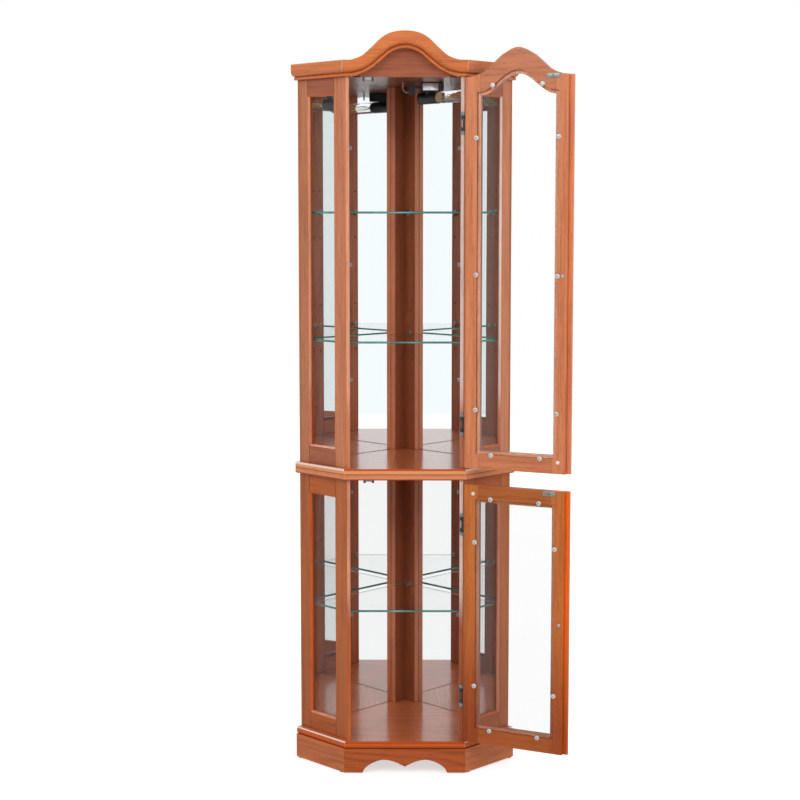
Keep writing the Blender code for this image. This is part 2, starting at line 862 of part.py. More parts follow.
def make_door(name, angle, low, head, opening_low, opening_head, finishes, knuckle_heights, knob_z):
    pivot = bpy.data.objects.new(f"{name}_door_pivot", None)
    bpy.context.scene.collection.objects.link(pivot)
    pivot.location = (pivot_x, pivot_y, low)

    for part, hand in (("hinge_stile", 1), ("free_stile", -1)):
        body, lip, rabbet = stile_shape(hand, low, head, opening_low, opening_head)
        stile = piece(f"{name}_door_{part}", body, finishes["wood"], pivot)
        join(stile, lip, "lip")
        cut(stile, rabbet, "rabbet")

    half = door_open_half - gap
    across = spread(-half, half, arch_steps)
    seat = door_back_y - door_glass_seat
    top_edge = [(x, head(x)) for x in across]
    low_edge = [(x, opening_head(x)) for x in reversed(across)]
    rail = piece(
        f"{name}_door_top_rail", slab([*top_edge, *low_edge], door_front_y, door_back_y),
        finishes["wood"], pivot, smooth=30,
    )
    wide = half + overrun
    steps = spread(-wide, wide, arch_steps)
    rabbet_edge = [(x, raised(opening_head, x, door_rabbet_width)) for x in steps]
    under = [(wide, opening_head(half) - overrun), (-wide, opening_head(half) - overrun)]
    cut(rail, slab([*rabbet_edge, *under], seat, door_back_y + overrun), "rabbet")

    low_rail = [(-half, low), (half, low), (half, opening_low), (-half, opening_low)]
    rail = piece(
        f"{name}_door_bottom_rail", slab(low_rail, door_front_y, door_back_y),
        finishes["wood"], pivot,
    )
    rabbet = block(
        (-wide, seat, opening_low - door_rabbet_width),
        (wide, door_back_y + overrun, opening_low + overrun),
    )
    cut(rail, rabbet, "rabbet")

    reach = door_rabbet_width - glass_edge_clearance
    wide = door_open_half + reach
    steps = spread(-wide, wide, arch_steps)
    edge = [(x, raised(opening_head, x, reach)) for x in reversed(steps)]
    edge[0] = (wide, opening_head(door_open_half) + reach)
    edge[-1] = (-wide, opening_head(door_open_half) + reach)
    pane = [(-wide, opening_low - reach), (wide, opening_low - reach), *edge]
    piece(
        f"{name}_door_glass", slab(pane, seat + gap, seat + gap + glass_thickness),
        finishes["glass"], pivot,
    )

    profile = [(radius * knob_radius, out * knob_length) for radius, out in knob_profile_shares]
    start = (-door_lip_half + knob_from_edge, door_front_y - gap, knob_z)
    knob = turned(profile, knob_sides, start, (0, -1, 0))
    piece(f"{name}_door_knob", knob, finishes["brass"], pivot, smooth=35)

    for index, middle in enumerate(knuckle_heights):
        make_hinge(f"{name}_hinge_{index + 1}", middle, finishes["steel"], pivot)
    pivot.rotation_euler = (0.0, 0.0, angle)


def make_hinge(name, middle, finish, pivot):
    """Frame leaf with a window, two knuckles and the pin; door leaf with the middle knuckle."""
    low, high = middle - hinge_height / 2, middle + hinge_height / 2
    third = hinge_height / 3
    leaf_end = pivot_x - leaf_end_share * pivot_outward - gap
    leaf_back = front_y - gap
    leaf_front = leaf_back - leaf_thickness
    leaf = block((opening_half + gap, leaf_front, low), (leaf_end, leaf_back, high))
    frame_leaf = piece(f"{name}_frame_leaf", leaf, finish, smooth=30)
    window = block(
        (opening_half + gap + hinge_rim, leaf_front - overrun, low + third),
        (leaf_end + overrun, leaf_back + overrun, high - third),
    )
    cut(frame_leaf, window, "window")
    axis = (pivot_x, pivot_y)
    bridge_start = (leaf_end - leaf_thickness, leaf_front - leaf_thickness / 2)
    bridges = together([
        block((*bridge_start, z), (pivot_x, leaf_back, z + third - gap))
        for z in (low, high - third + gap)
    ])
    join(frame_leaf, bridges, "bridges")
    knuckles = together([
        rod(knuckle_radius, (*axis, z), (*axis, z + third - gap), hinge_sides)
        for z in (low, high - third + gap)
    ])
    join(frame_leaf, knuckles, "knuckles")
    join(frame_leaf, rod(hinge_pin_radius, (*axis, low + gap), (*axis, high - gap), hinge_sides), "pin")

    lip_edge = door_lip_half + gap
    plate = block(
        (lip_edge, door_front_y + gap, low),
        (lip_edge + leaf_thickness, pivot_y + hinge_pin_radius, high),
    )
    door_leaf = piece(f"{name}_door_leaf", plate, finish, pivot, smooth=30)
    span = (low + third + gap, high - third - gap)
    bridge = block(
        (lip_edge + leaf_thickness / 2, pivot_y - knuckle_radius, span[0]),
        (pivot_x, pivot_y + hinge_pin_radius, span[1]),
    )
    join(door_leaf, bridge, "bridge")
    join(door_leaf, rod(knuckle_radius, (*axis, span[0]), (*axis, span[1]), hinge_sides), "knuckle")
    bore = hinge_pin_radius + pin_clearance
    bored = rod(bore, (*axis, low - overrun), (*axis, high + overrun), hinge_sides)
    cut(door_leaf, bored, "bore")


def make_doors(finishes):
    (_, upper_low, _), (_, lower_low, lower_high) = compartments()
    low = upper_low + door_end_gap
    make_door(
        "upper", upper_door_angle, low, door_top, low + upper_door_rails[0], inner_arch,
        finishes, hinge_heights["upper"], knob_heights["upper"],
    )
    low, high = lower_low + door_end_gap, lower_high - lower_door_head_gap
    make_door(
        "lower", lower_door_angle, low, flat(high), low + lower_door_rails[0],
        flat(high - lower_door_rails[1]), finishes, hinge_heights["lower"], knob_heights["lower"],
    )


# Catches

def make_catches(finish):
    front = door_back_y + strike_allowance + gap
    lug = catch_lug_share * catch_width
    step = catch_step_share * catch_height
    for name, _, high in compartments():
        top = high - gap
        low = top - catch_height
        left = catch_from_corner - front_half - catch_width / 2
        right = left + catch_width
        outline = [
            (left, low), (left + lug, low), (left + lug, low + step), (right - lug, low + step),
            (right - lug, low), (right, low), (right, top), (left, top),
        ]
        piece(f"{name}_door_catch", slab(outline, front, front + catch_depth), finish)


# Lamp

def boxed(centre, size, low):
    """A box in line with the front, from its centre in plan, its size and its underside."""
    (x, y), (width, depth, height) = centre, size
    return block(
        (x - width / 2, y - depth / 2, low), (x + width / 2, y + depth / 2, low + height)
    )


def make_lamp(black, bulb_glass, lead):
    height = top_board_low - lamp_drop
    top = top_board_low - gap
    inward = mirror_face + lamp_wall_distance
    along_wall = wall_vector(1.0, 0.0)
    rim = Vector((*on_wall(lamp_along_wall, inward), height))
    tail = rim - along_wall * holder_length
    middle = (rim + tail) / 2
    centre = (middle.x + housing_offset[0], middle.y + housing_offset[1])
    width, depth, tall = housing_size
    housing = boxed(centre, housing_size, top - tall)
    edges = [edge for edge in housing.edges if edge.calc_length() < depth + tall]
    bmesh.ops.bevel(
        housing, geom=edges, offset=housing_edge, segments=1, profile=0.5,
        affect="EDGES", material=-1, clamp_overlap=True,
    )
    holder = piece("lamp_holder", rod(holder_radius, tail, rim, holder_sides), black, smooth=35)
    join(holder, housing, "housing")
    neck = (*neck_size, top - tall - height + overrun)
    join(holder, boxed((middle.x, middle.y), neck, height), "neck")
    bore_start = rim - along_wall * holder_bore_depth
    bore = rod(holder_bore_radius, bore_start, rim + along_wall * overrun, holder_sides)
    cut(holder, bore, "bore")

    block_width, _, block_tall = switch_block_size
    left = centre[0] - width / 2
    block_centre = (left - switch_block_gap - block_width / 2, centre[1])
    block_low = top_board_low - switch_block_drop - block_tall
    join(holder, boxed(block_centre, switch_block_size, block_low), "switch_block")
    bar_length = switch_block_gap + 2 * overrun
    bar = (bar_length, tie_bar, tie_bar)
    bar_centre = (left - switch_block_gap / 2, centre[1])
    join(holder, boxed(bar_centre, bar, top_board_low - tie_bar_drop - tie_bar / 2), "tie_bar")

    cap_start = bore_start + along_wall * gap
    neck = bulb_cap_length + bulb_neck_share * bulb_length
    straight = bulb_cap_length + bulb_tip_share * bulb_length
    profile = [
        (bulb_cap_radius, 0.0), (bulb_cap_radius, bulb_cap_length * 0.96),
        (bulb_cap_radius * 0.96, bulb_cap_length), (bulb_radius, neck), (bulb_radius, straight),
    ]
    tip = bulb_cap_length + bulb_length - straight
    for i in range(1, 6):
        turn = 0.5 * math.pi * i / 6
        profile.append((bulb_radius * math.cos(turn), straight + tip * math.sin(turn)))
    piece("lamp_bulb", turned(profile, bulb_sides, cap_start, along_wall), bulb_glass, smooth=40)

    make_lead(Vector((block_centre[0] - block_width / 2 - gap, centre[1], top)), lead)


def make_lead(end, finish):
    """The lead from the top board into the side of the switch block, on one smooth curve."""
    route = [Vector((end.x + x, end.y, end.z + z)) for x, z in lead_route]
    points = smooth_points(route, lead_point_every * 2 * lead_radius)
    curve = bpy.data.curves.new("lamp_lead", "CURVE")
    curve.dimensions = "3D"
    curve.bevel_depth = lead_radius
    curve.bevel_resolution = 2
    curve.use_fill_caps = True
    line = curve.splines.new("POLY")
    line.points.add(len(points) - 1)
    for target, point in zip(line.points, points):
        target.co = (*point, 1.0)
    obj = bpy.data.objects.new("lamp_lead", curve)
    bpy.context.scene.collection.objects.link(obj)
    curve.materials.append(finish)


def smooth_points(route, spacing):
    """Points at an even spacing on a curve through the route."""
    ends = [route[0] * 2 - route[1], *route, route[-1] * 2 - route[-2]]
    fine = []
    for a, b, c, d in zip(ends, ends[1:], ends[2:], ends[3:]):
        for i in range(8):
            t = i / 8
            fine.append(0.5 * (
                2 * b + (c - a) * t + (2 * a - 5 * b + 4 * c - d) * t**2
                + (3 * b - a - 3 * c + d) * t**3
            ))
    fine.append(route[-1])
    lengths = np.cumsum([0.0, *((q - p).length for p, q in zip(fine, fine[1:]))])
    count = max(int(lengths[-1] / spacing), 4)
    wanted = np.linspace(0.0, lengths[-1], count + 1)
    axes = [np.interp(wanted, lengths, [point[k] for point in fine]) for k in range(3)]
    return [Vector(point) for point in zip(*axes)]


def main():
    empty_scene()
    finish = materials()
    make_plinth(finish["wood"])
    make_corner_block(finish["board"])
    make_glides(finish["black"])
    make_boards(finish["moulding"], finish["dark_wood"])
    make_cornice(finish["moulding"])
    make_header(finish["wood"])
    rails = {"upper": upper_rail_widths, "lower": lower_rail_widths}
    for name, low, high in compartments():
        make_side_frame(
            name, low + gap, high - gap, rails[name], shelf_tops[name],
            finish["wood"], finish["glass"],
        )
        make_corner_post(f"{name}_corner_post", low, high, shelf_tops[name], finish["dark_wood"])
    make_back(finish["board"], finish["mirror"])
    make_shelves(finish["glass"])
    make_doors(finish)
    make_catches(finish["black"])
    make_lamp(finish["black"], finish["glass"], finish["lead"])


main()
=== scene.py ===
import json
import math

import bmesh
import bpy
from mathutils import Matrix, Vector


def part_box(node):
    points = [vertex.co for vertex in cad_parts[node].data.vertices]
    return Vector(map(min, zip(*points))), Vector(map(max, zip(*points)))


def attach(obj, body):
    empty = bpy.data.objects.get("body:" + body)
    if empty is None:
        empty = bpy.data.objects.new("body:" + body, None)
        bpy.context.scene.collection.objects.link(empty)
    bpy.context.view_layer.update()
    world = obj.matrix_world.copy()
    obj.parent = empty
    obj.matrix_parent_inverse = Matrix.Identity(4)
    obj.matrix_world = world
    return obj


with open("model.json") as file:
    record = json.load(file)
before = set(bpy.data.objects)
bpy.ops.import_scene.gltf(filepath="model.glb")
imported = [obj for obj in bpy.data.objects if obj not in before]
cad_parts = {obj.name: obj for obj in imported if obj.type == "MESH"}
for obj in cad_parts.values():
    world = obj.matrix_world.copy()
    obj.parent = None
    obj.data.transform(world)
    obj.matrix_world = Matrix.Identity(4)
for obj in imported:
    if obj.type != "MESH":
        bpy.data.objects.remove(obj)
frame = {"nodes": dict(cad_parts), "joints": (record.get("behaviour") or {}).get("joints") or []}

print("frame loaded")
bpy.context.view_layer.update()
nodes = frame["nodes"]
joints = {joint["name"]: joint for joint in frame["joints"]}
up = Vector((0.0, 0.0, 1.0))
sidewise = Vector((1.0, 0.0, 0.0))
inwards = Vector((0.0, 1.0, 0.0))
slant = math.sqrt(0.5)
sides = {1: "right", -1: "left"}
sideways = {hand: Vector((hand * slant, slant, 0.0)) for hand in sides}  # from a front corner to the back
outwards = {hand: Vector((hand * slant, -slant, 0.0)) for hand in sides}  # out of the side's face


# Node sockets as Python values

lineEdges = (0.6, 1.4)  # shares of a line's half width, between which it fades


class Value:
    # Wraps one socket, so that sums on sockets read as sums
    def __init__(self, tree, socket):
        self.tree = tree
        self.socket = socket

    def sum(self, operation, left, right=0.0):
        return self.tree.node("Math", {0: left, 1: right}, operation=operation)

    def __add__(self, other):
        return self.sum("ADD", self, other)

    def __radd__(self, other):
        return self.sum("ADD", other, self)

    def __sub__(self, other):
        return self.sum("SUBTRACT", self, other)

    def __rsub__(self, other):
        return self.sum("SUBTRACT", other, self)

    def __mul__(self, other):
        return self.sum("MULTIPLY", self, other)

    def __rmul__(self, other):
        return self.sum("MULTIPLY", other, self)

    def __truediv__(self, other):
        return self.sum("DIVIDE", self, other)

    def __rtruediv__(self, other):
        return self.sum("DIVIDE", other, self)

    def __abs__(self):
        return self.sum("ABSOLUTE", self)

    def wave(self):
        return self.sum("SINE", self)

    def root(self):
        return self.sum("SQRT", self)

    def most(self, other):
        return self.sum("MAXIMUM", self, other)

    def ramp(self, start, end):
        # 0 before start, 1 after end, soft between them; start may be the higher
        sockets = {"Value": self, "From Min": start, "From Max": end}
        return self.tree.node("MapRange", sockets, interpolation_type="SMOOTHSTEP")

    def line(self, half):
        # 1 on a line this wide to each side of zero
        return 1.0 - abs(self).ramp(*(half * edge for edge in lineEdges))


class Tree:
    # A node tree, with one method that adds any node to it
    def __init__(self, tree):
        self.tree = tree

    def node(self, kind, sockets=None, output=0, **settings):
        made = self.tree.nodes.new(f"ShaderNode{kind}")
        for name, value in settings.items():
            if name == "stops":
                self.setStops(made.color_ramp.elements, value)
            else:
                setattr(made, name, value)
        for name, value in (sockets or {}).items():
            self.feed(made.inputs[name], value)
        return Value(self, made.outputs[output])

    def setStops(self, steps, stops):
        # A new ramp has two steps already
        for number, (position, colour) in enumerate(stops):
            step = steps[number] if number < 2 else steps.new(position)
            step.position = position
            step.color = (*colour, 1.0)

    def feed(self, socket, value):
        if isinstance(value, Value):
            self.tree.links.new(value.socket, socket)
        elif isinstance(value, tuple) and len(value) == 3 and socket.type == "RGBA":
            socket.default_value = (*value, 1.0)
        else:
            socket.default_value = value

    def blend(self, amount, first, second):
        # Sockets 6 and 7 are the two colours that a Mix node takes, and 2 is the one it gives
        return self.node("Mix", {0: amount, 6: first, 7: second}, 2, data_type="RGBA")


class Finish(Tree):
    # One material and the nodes that make it
    def __init__(self, name, **constants):
        self.material = bpy.data.materials.new(name)
        self.material.use_nodes = True
        super().__init__(self.material.node_tree)
        self.shader = self.tree.nodes["Principled BSDF"]
        self.output = self.tree.nodes["Material Output"]
        self.drive(**constants)
        self.place = self.node("TexCoord", output="Object")

    def drive(self, **surface):
        for label, value in surface.items():
            self.feed(self.shader.inputs[label.replace("_", " ")], value)
        return self.material

    def surface(self):
        return Value(self, self.shader.outputs[0])

    def along(self, direction, of=None):
        # How far a point lies along a direction, in metres
        sockets = {0: of or self.place, 1: tuple(direction)}
        return self.node("VectorMath", sockets, "Value", operation="DOT_PRODUCT")

    def normal(self, direction):
        # 1 where the surface faces along a direction, -1 where it faces against it
        return self.along(direction, self.node("TexCoord", output="Normal"))

    def facing(self, direction):
        # 1 where the surface faces along a direction or against it, 0 where it stands square to it
        return abs(self.normal(direction))

    def speckle(self, sizes, detail=2.0, roughness=0.5):
        # Noise whose spots have these sizes along x, y and z, or along three given values
        if not isinstance(sizes[0], Value):
            sizes = [self.along(axis) / size for axis, size in zip((sidewise, inwards, up), sizes)]
        where = self.node("CombineXYZ", dict(enumerate(sizes)))
        sockets = {"Vector": where, "Scale": 1.0, "Detail": detail, "Roughness": roughness}
        return self.node("TexNoise", sockets)

    def bump(self, height, distance):
        sockets = {"Height": height, "Distance": distance, "Strength": 1.0}
        return self.node("Bump", sockets, "Normal")


# Wood

woodLook = {
    "streak": (0.0130, 0.380, 3.0),  # size across the grain, size along it, and detail
    "fibre": (0.0032, 0.090, 2.0),
    "hair": (0.0011, 0.036, 1.0),
    "pore": (0.0013, 0.018, 1.0),
    "fieldRoughness": 0.55,
    "toneShares": (0.42, 0.34, 0.24),  # of streaks, fibres and hairs
    "reliefShares": (0.5, 0.3, 0.7),  # of fibres, hairs and pores
    "poreLimits": (0.60, 0.74),
    "poreDepth": 0.13,
    "ringSpacing": 0.0140,  # across a figured board
    "ringSlope": 0.105,
    "ringStart": 0.36,  # beyond the end of the board
    "ringDrift": (0.050, 0.200),
    "ringWander": 1.9,
    "ringLimits": (0.20, 1.0),
    "ringDepth": 0.085,
    "ringLift": 0.035,
    "shades": (  # tone, and the shares of a colour that it has there
        (0.22, (0.46, 0.38, 0.32)), (0.395, (0.78, 0.72, 0.66)),
        (0.50, (1.00, 1.00, 1.00)), (0.615, (1.13, 1.20, 1.27)),
    ),
    "sheen": {
        "upper": {"Coat_Weight": 0.10, "Coat_Roughness": 0.14},
        "lower": {"Coat_Weight": 0.03, "Coat_Roughness": 0.14, "Specular_IOR_Level": 0.20},
    },
    "floorShadeHeights": (0.46, 0.12),  # over which the painted shade deepens towards the floor
    "bumpHeight": 0.00010,
    "roughness": 0.33,
    "rawRoughness": 0.55,  # of boards that show only from behind or from above
    "roughnessSpread": 0.14,
    "shine": 0.30,  # specular level
    "edgeLimits": (0.97, 0.80),
    "edgeShare": 0.80,
}
woodColours = {
    "upper": (0.472, 0.152, 0.062),
    "upperRail": (0.300, 0.080, 0.031),
    "lower": (0.392, 0.106, 0.026),
    "lowerRail": (0.385, 0.092, 0.018),
    "header": (0.272, 0.073, 0.029),
    "upperDoor": (0.535, 0.166, 0.062),
    "lowerDoor": (0.455, 0.122, 0.024),
    "plinthFront": (0.335, 0.062, 0.007),
    "plinthSide": (0.430, 0.108, 0.024),
    "cornice": (0.520, 0.132, 0.026),
    "roll": (0.530, 0.118, 0.020),
    "floor": (0.440, 0.118, 0.044),
    # painted shade on the inner faces of the side frames
    "inner": (0.330, 0.100, 0.048),
    # the post, darker than its wood as painted shade inside the V; then its ends, where it meets the
    # mirrors, with less of it
    "post": (0.215, 0.052, 0.018),
    "postEnd": (0.480, 0.140, 0.062),
    "top": (0.200, 0.062, 0.030),
    "board": (0.260, 0.150, 0.090),
    "edge": (0.520, 0.088, 0.010),
    # painted highlight on the bevels that face the light
    "edgeHighlight": (0.640, 0.250, 0.150),
    # pale pink painted highlight on the upper part of the left front strip and on the right end of the
    # post
    "stripHighlight": (0.600, 0.250, 0.145),
    "upperLowStrip": (0.500, 0.155, 0.068),
    "lowerLowStrip": (0.410, 0.090, 0.018),
    # paler painted highlight on the upper part of the right front strip and along the upper rounding of
    # the boards' sides
    "paleHighlight": (0.780, 0.620, 0.560),
    "lip": (0.600, 0.170, 0.062),
    "lowLip": (0.700, 0.120, 0.006),
    # painted shade towards the floor
    "floorShade": (0.235, 0.034, 0.001),
    # partly the wood of the glass's seat and partly a painted reflection of the glass over it
    "seatWithReflection": (0.460, 0.200, 0.115),
    # dark brown: painted shade on the walls of the openings, in the cornice's hollow and in the door's
    # crease, and dark streaks of grain on the boards' rims
    "shadeAndGrainBrown": (0.150, 0.048, 0.026),
    # dark joint lines, and painted shade in the post's corner and along the mirrors
    "jointAndShade": (0.070, 0.020, 0.010),
    "mitre": (0.850, 0.700, 0.600),
}
woodSeeds = {  # where in the noise the grain starts, for the boards that take more than one line
    "frame": (3.1, 1.7),  # steps from level to level and from side to side
    "post": 11.0, "top": 29.0, "bottom": 41.0, "middle": 43.0, "cornice": (51.0, 54.0),
    "door": (61.0, 2.0, 17.0),  # and its steps from part to part and from door to door
}
patchy = 3.0  # noise detail of patches and haze
faced = (0.80, 0.95)  # how square on a direction a face is that counts as facing it
turnedAway = (0.95, 0.75)


pinLook = {"start": 0.0004, "colour": (0.45, 0.44, 0.42)}


class Wood(Finish):
    # A finish with a grain, whose colours are laid one over another
    def __init__(self, name, **constants):
        super().__init__(name, **{"Specular_IOR_Level": woodLook["shine"], **constants})

    def grain(self, lengthwise, across, through, seed, figure=0.0):
        # Tone and relief of wood whose grain runs along the first of three distances
        def spots(wide, long):
            return across / wide + seed, through / wide, lengthwise / long

        def field(kind):
            wide, long, detail = woodLook[kind]
            return self.speckle(spots(wide, long), detail, woodLook["fieldRoughness"])

        streak, fibre, hair = field("streak"), field("fibre"), field("hair")
        pits = field("pore").ramp(*woodLook["poreLimits"])
        shares = woodLook["toneShares"]
        tone = streak * shares[0] + fibre * shares[1] + hair * shares[2]
        if figure:
            drift = self.speckle(spots(*woodLook["ringDrift"])) * woodLook["ringWander"]
            slope = (lengthwise + woodLook["ringStart"]) * woodLook["ringSlope"]
            cycles = (across * across + slope * slope).root() / woodLook["ringSpacing"] + drift
            rings = (cycles * (2.0 * math.pi)).wave() * 0.5 + 0.5
            tone = tone - rings.ramp(*woodLook["ringLimits"]) * figure * woodLook["ringDepth"]
            tone = tone + figure * woodLook["ringLift"]
        tone = tone - pits * woodLook["poreDepth"]
        shares = woodLook["reliefShares"]
        return tone, fibre * shares[0] + hair * shares[1] - pits * shares[2]

    def tint(self, colour, share=1.0):
        # From the pores to the light streaks of a wood of this colour
        middle = woodColours[colour]
        stops = [
            (place, tuple(part * share * shade for part, shade in zip(middle, shades)))
            for place, shades in woodLook["shades"]
        ]
        return self.node("ValToRGB", {"Fac": self.tone}, stops=stops)

    def start(self, grain, colour, share=1.0):
        self.tone, self.relief = grain
        self.colour = self.tint(colour, share)

    def lay(self, amount, colour, share=1.0):
        # Covers this much of the colour so far with one that follows the grain
        self.colour = self.blend(amount, self.colour, self.tint(colour, share))

    def layPlain(self, amount, colour):
        self.colour = self.blend(amount, self.colour, woodColours[colour])

    def paintFloorShade(self, height, share):
        # Painted shade: a deeper orange towards the floor
        self.lay(height.ramp(*woodLook["floorShadeHeights"]) * share, "floorShade")

    def addPins(self, past):
        # Metal on the shelf pins, which stand out past the face of their wood
        isPin = past.ramp(pinLook["start"], 2 * pinLook["start"])
        self.drive(Metallic=isPin)
        self.colour = self.blend(isPin, self.colour, pinLook["colour"])

    def close(self, roughness=woodLook["roughness"]):
        return self.drive(
            Base_Color=self.colour, Roughness=self.relief * woodLook["roughnessSpread"] + roughness,
            Normal=self.bump(self.relief, woodLook["bumpHeight"]),
        )


def plainWood(name, along, face, colours, seed, roughness, figure):
    # A board with its grain along one direction, whose other faces are cut edges
    wood = Wood(name)
    distances = (wood.along(axis) for axis in (along, along.cross(face), face))
    wood.start(wood.grain(*distances, seed, figure), colours[0])
    if len(colours) > 1:
        turned = wood.facing(face).ramp(*woodLook["edgeLimits"])
        wood.lay(turned * woodLook["edgeShare"], colours[1])
    return wood.close(roughness)


def addObject(name, data):
    obj = bpy.data.objects.new(name, data)
    bpy.context.scene.collection.objects.link(obj)
    return obj


def dress(material, *names):
    for name in names:
        for slot in nodes[name].material_slots:
            slot.material = material


frameLook = {
    "stripWidth": 0.0080,  # front-facing edge of the front stile
    "stiles": (0.0415, 0.0360),  # front and rear stile
    "rails": {"upper": (0.0420, 0.0380), "lower": (0.0420, 0.0450)},
    "thickness": 0.0180,
    "wallShadePlaces": (-0.0055, -0.0070),  # where the painted shade on the wall of the opening starts, out of the face
    "seamHalf": 0.0007,
    "soft": 0.0002,
    "railSoft": 0.0003,
    "railSeed": 7.0,
    "seamAndShadeShare": 0.80,
    "edgeShare": 0.85,
    # painted highlight on the bevels that face the light
    "highlightLimits": (0.30, 0.60),
    "highlightShare": 0.80,
    # share of the painted shade on the wall of the opening
    "wallShadeShare": 0.80,
    # share of the painted shade towards the floor, on the lower frames
    "floorShadeShare": 0.35,
    "rearShares": {1: 1.05, -1: 0.87},  # the rear stile of the right frame and of the left one
    # painted shade on the inner faces: its share on the right frame and on the left
    "innerShadeShares": {1: 1.7, -1: 1.15},
    # the painted highlights of the front strips, and the heights over which they take over from the orange
    # below
    "stripHighlightColours": {1: "paleHighlight", -1: "stripHighlight"},
    "stripHighlightHeights": {"upper": (0.87, 0.96), "lower": (0.35, 0.47)},
    "stripLimits": (0.90, 0.98),
    "stripEnd": (0.0040, 0.0020),
    "stripShare": 0.90,
}
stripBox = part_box("upper_side_frame_right")
frontY = stripBox[0].y
frontHalf = stripBox[0].x + frameLook["stripWidth"]
sideLength = (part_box("back_board_right")[1].x - frontHalf) / slant
frontCorner = {hand: Vector((hand * frontHalf, frontY, 0.0)) for hand in sides}
mitreSlope = math.tan(math.radians(45.0) / 2)  # the sides stand at 45 degrees to the front


def sideFrameFinish(hand, level, node, seed):
    # Stiles with upright grain and rails with level grain, and a dark line where they meet
    look = frameLook
    along, outward, corner = sideways[hand], outwards[hand], frontCorner[hand]
    wood = Wood(f"{node}_wood", **woodLook["sheen"][level])
    lengthwise = wood.along(along) - corner.dot(along)
    outside = wood.along(outward) - corner.dot(outward)
    height = wood.along(up)
    low, high = (point.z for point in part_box(node))
    lowRail, highRail = look["rails"][level]
    first, last = look["stiles"][0], sideLength - look["stiles"][1]
    soft = look["soft"]
    beyond = height.ramp(low + lowRail + look["railSoft"], low + lowRail)
    beyond = beyond + height.ramp(high - highRail - look["railSoft"], high - highRail)
    isRail = lengthwise.ramp(first - soft, first + soft) * lengthwise.ramp(last + soft, last - soft)
    isRail = isRail * beyond

    stile = wood.grain(height, lengthwise, outside, seed)
    rail = wood.grain(lengthwise, height, outside, seed + look["railSeed"])
    both = (onStile * (1.0 - isRail) + onRail * isRail for onStile, onRail in zip(stile, rail))
    wood.start(both, level)
    wood.lay(lengthwise.ramp(last - soft, last + soft), level, look["rearShares"][hand])
    wood.lay(isRail, f"{level}Rail")
    # Painted shade towards the floor on the lower frames
    if level == "lower":
        wood.paintFloorShade(height, look["floorShadeShare"])
    jointAndShade = (lengthwise - first).line(look["seamHalf"])
    jointAndShade = jointAndShade.most((lengthwise - last).line(look["seamHalf"])) * beyond
    wood.layPlain(jointAndShade * look["seamAndShadeShare"], "jointAndShade")

    turned = wood.facing(outward).ramp(*turnedAway)
    wood.lay(turned * look["edgeShare"], "edge")
    # Painted highlight on the bevels that face the light: the upright ones on the right frame, the one
    # facing up below the opening on the left
    pale = (wood.facing(along) if hand > 0 else wood.normal(up)).ramp(*look["highlightLimits"])
    wood.lay(pale * look["highlightShare"], "edgeHighlight")
    # Painted shade on the wall of the opening
    wood.layPlain(outside.ramp(*look["wallShadePlaces"]) * turned * look["wallShadeShare"], "shadeAndGrainBrown")
    # Painted shade on the inner faces, lighter on the right frame
    wood.lay(wood.normal(-outward).ramp(*faced), "inner", look["innerShadeShares"][hand])

    # The front strip: orange below, turning to a pale painted highlight higher up
    front = wood.normal(-inwards).ramp(*look["stripLimits"])
    if level == "lower":
        front = front * lengthwise.ramp(*look["stripEnd"])
    lowStrip, stripHighlight = wood.tint(f"{level}LowStrip"), wood.tint(look["stripHighlightColours"][hand])
    stripHighlight = wood.blend(height.ramp(*look["stripHighlightHeights"][level]), lowStrip, stripHighlight)
    wood.colour = wood.blend(front * look["stripShare"], wood.colour, stripHighlight)
    wood.addPins(-look["thickness"] - outside)
    return wood.close()


postLook = {
    "thickness": 0.0160,
    "outerLimits": (0.002, 0.006),  # normal times distance from the middle
    # painted highlight on the outer part of the right end
    "endHighlightReach": 0.010,
    "endHighlightShare": 0.40,
    # painted shade in the corner of the V
    "cornerShadeReach": 0.014,
    "cornerShadeShare": 0.20,
    # painted shade along the mirrors
    "mirrorShadeLimits": (0.00156, 0.00084),
    "seamAndShadeShare": 0.85,
    "roughness": 0.38,
}
mirrorPlane = max(
    -(vertex.co.x + vertex.co.y) * slant for vertex in nodes["upper_mirror_right"].data.vertices
)


def postFinish(name, seed):
    # Painted shade: dark inside its V, darker in its corner and along the mirrors; lighter on the two ends
    # that meet the mirrors, with a painted highlight on the right one
    look = postLook
    wood = Wood(name)
    sideX, depth, height = (wood.along(axis) for axis in (sidewise, inwards, up))
    wallDistance = (abs(sideX) + depth) * -slant - mirrorPlane
    wood.start(wood.grain(height, sideX, depth, seed), "post")
    ends = (wood.normal(sidewise) * sideX).ramp(*look["outerLimits"])
    wood.lay(ends, "postEnd")
    # Painted highlight on the outer part of the right end, and painted shade in the corner of the V and
    # along the mirrors
    wood.layPlain(ends * sideX.ramp(0.0, look["endHighlightReach"]) * look["endHighlightShare"], "stripHighlight")
    wood.layPlain(abs(sideX).ramp(look["cornerShadeReach"], 0.0) * look["cornerShadeShare"], "jointAndShade")
    wood.layPlain(wallDistance.ramp(*look["mirrorShadeLimits"]) * ends * look["seamAndShadeShare"], "jointAndShade")
    wood.addPins(wallDistance - look["thickness"])
    return wood.close(look["roughness"])


topLook = {"underside": 0.26, "top": 0.55, "upLimits": (0.0, 0.5)}


def topBoardFinish():
    # Satin below, where it shows inside the case, and dull on top
    wood = Wood("top_board_wood")
    distances = (wood.along(axis) for axis in (sidewise, inwards, up))
    wood.start(wood.grain(*distances, woodSeeds["top"]), "top")
    isTop = wood.normal(up).ramp(*topLook["upLimits"])
    return wood.close(isTop * (topLook["top"] - topLook["underside"]) + topLook["underside"])


